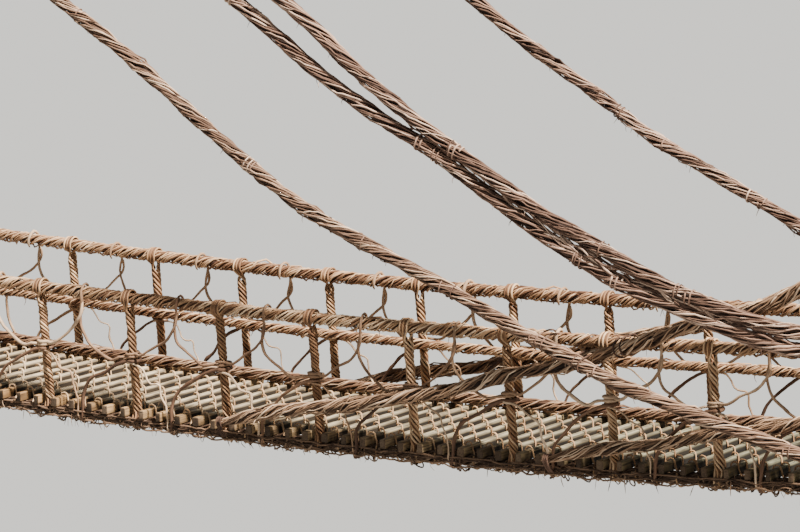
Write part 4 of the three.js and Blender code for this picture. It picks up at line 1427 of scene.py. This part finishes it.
def makeLog(name, x, axisZ, node):
    bpy.ops.mesh.primitive_cylinder_add(
        vertices=beam["sides"], radius=beam["radius"], depth=beam["length"], location=(0, 0, 0),
    )
    log = bpy.context.object
    half = beam["length"] / 2
    bpy.ops.object.mode_set(mode="EDIT")
    bpy.ops.mesh.select_all(action="SELECT")
    bpy.ops.transform.rotate(value=math.pi / 2, orient_axis="X")
    selectEdges(log, lambda a, b: abs(a.y - b.y) > half)
    bpy.ops.mesh.subdivide(number_cuts=beam["cuts"])
    selectEdges(log, lambda a, b: min(abs(a.y), abs(b.y)) > half - beam["hair"])
    bpy.ops.mesh.bevel(offset=beam["endBevel"], segments=2, affect="EDGES")
    bpy.ops.mesh.select_all(action="SELECT")
    bpy.ops.transform.vertex_random(offset=beam["unevenness"], seed=int(x) + beam["firstSeed"])
    bpy.ops.transform.resize(value=beam["shrink"])
    bpy.ops.mesh.bisect(
        plane_co=(0, 0, beam["hewn"] - beam["radius"]), plane_no=(0, 0, 1), use_fill=True, clear_inner=True,
    )
    bpy.ops.mesh.select_all(action="SELECT")
    bpy.ops.transform.translate(value=(x, 0, axisZ))
    bpy.ops.mesh.normals_make_consistent(inside=False)
    bpy.ops.object.mode_set(mode="OBJECT")
    cutters = []
    for row in deck["bearerRows"]:
        bpy.ops.mesh.primitive_cube_add(size=1.0, location=(0, 0, 0))
        cutters.append(bpy.context.object)
        base = axisZ - beam["radius"] + beam["hewn"]
        size = Matrix.Diagonal((1.0, beam["slotWidth"], beam["slotDepth"] * 2, 1.0))
        cutters[-1].data.transform(Matrix.Translation((x, row, base)) @ size)
        bpy.ops.mesh.primitive_cylinder_add(
            vertices=beam["notchSides"], radius=beam["notchRadius"], depth=1.0, location=(0, 0, 0),
        )
        cutters.append(bpy.context.object)
        place = Matrix.Translation((x, row, deckTop(x) - deck["bearerDepth"])) @ Matrix.Rotation(math.pi / 2, 4, "Y")
        cutters[-1].data.transform(place)
    cutter = joinCopies(cutters, "cutter")
    modifier = log.modifiers.new("notches", "BOOLEAN")
    modifier.operation = "DIFFERENCE"
    modifier.object = cutter
    modifier.solver = "EXACT"
    bpy.ops.object.select_all(action="DESELECT")
    bpy.context.view_layer.objects.active = log
    log.select_set(True)
    bpy.ops.object.modifier_apply(modifier="notches")
    bpy.data.objects.remove(cutter, do_unlink=True)
    log.name = name
    log.data.materials.clear()
    log.data.materials.append(finishes["beamWood"])
    log.data.materials.append(finishes["beamEnd"])
    for face in log.data.polygons:
        isEnd = abs(face.normal.y) > beam["endNormal"] and abs(face.center.y) > half - beam["endReach"]
        face.material_index = 1 if isEnd else 0
    setTone(log.data, beam["tone"])
    bpy.ops.object.shade_smooth_by_angle(angle=math.radians(beam["smooth"]))
    setPiece(log, "beam_wood", node)


def beamLashing(rng, x, row, axisZ, spread):  # a cross over the bearer and a loop under the beam
    bearerZ = deckTop(x) - deck["bearerDepth"]
    top = bearerZ + beam["over"]
    under = axisZ - beam["radius"] + beam["hewn"] + beam["under"]
    wide = beam["beside"] + spread
    out = beam["around"]
    shape = (
        (0.078, -wide, bearerZ), (0.08, 0.0, top), (0.078, wide, bearerZ), (out, wide * 0.8, axisZ),
        (0.085, wide * 0.5, under + 0.004), (0.0, 0.0, under), (-0.085, -wide * 0.5, under + 0.004),
        (-out, -wide * 0.8, axisZ), (-0.078, -wide, bearerZ), (-0.08, 0.0, top), (-0.078, wide, bearerZ),
        (-out, wide * 0.8, axisZ), (-0.085, wide * 0.5, under + 0.004), (0.0, spread, under),
        (0.085, -wide * 0.5, under + 0.004), (out, -wide * 0.8, axisZ),
    )
    line = smoothRing([(x + dx, row + dy, z) for dx, dy, z in shape], beam["lashingStep"])
    return vine(line, beam["lashing"] * (1 + wander(rng, distances(line), 0.1, 0.3)), rng.random(), True)


def makeBeams():
    rng = random.Random(509)
    vines = []
    for node, x in (("left_end_beam", 0.0), ("right_end_beam", rightBeamX)):
        low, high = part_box(node)
        axisZ = low[2] + beam["radius"] - beam["hewn"]
        makeLog(node.replace("_end_beam", "_log"), x, axisZ, node)
        for row in deck["bearerRows"]:
            for spread in beam["lashingSpreads"]:
                vines.append(beamLashing(rng, x, row, axisZ, spread))
    setPiece(growVines("beam_lashings", vines, "netVine"), "thin_vine")


makeBeams()
print("beams lashed")
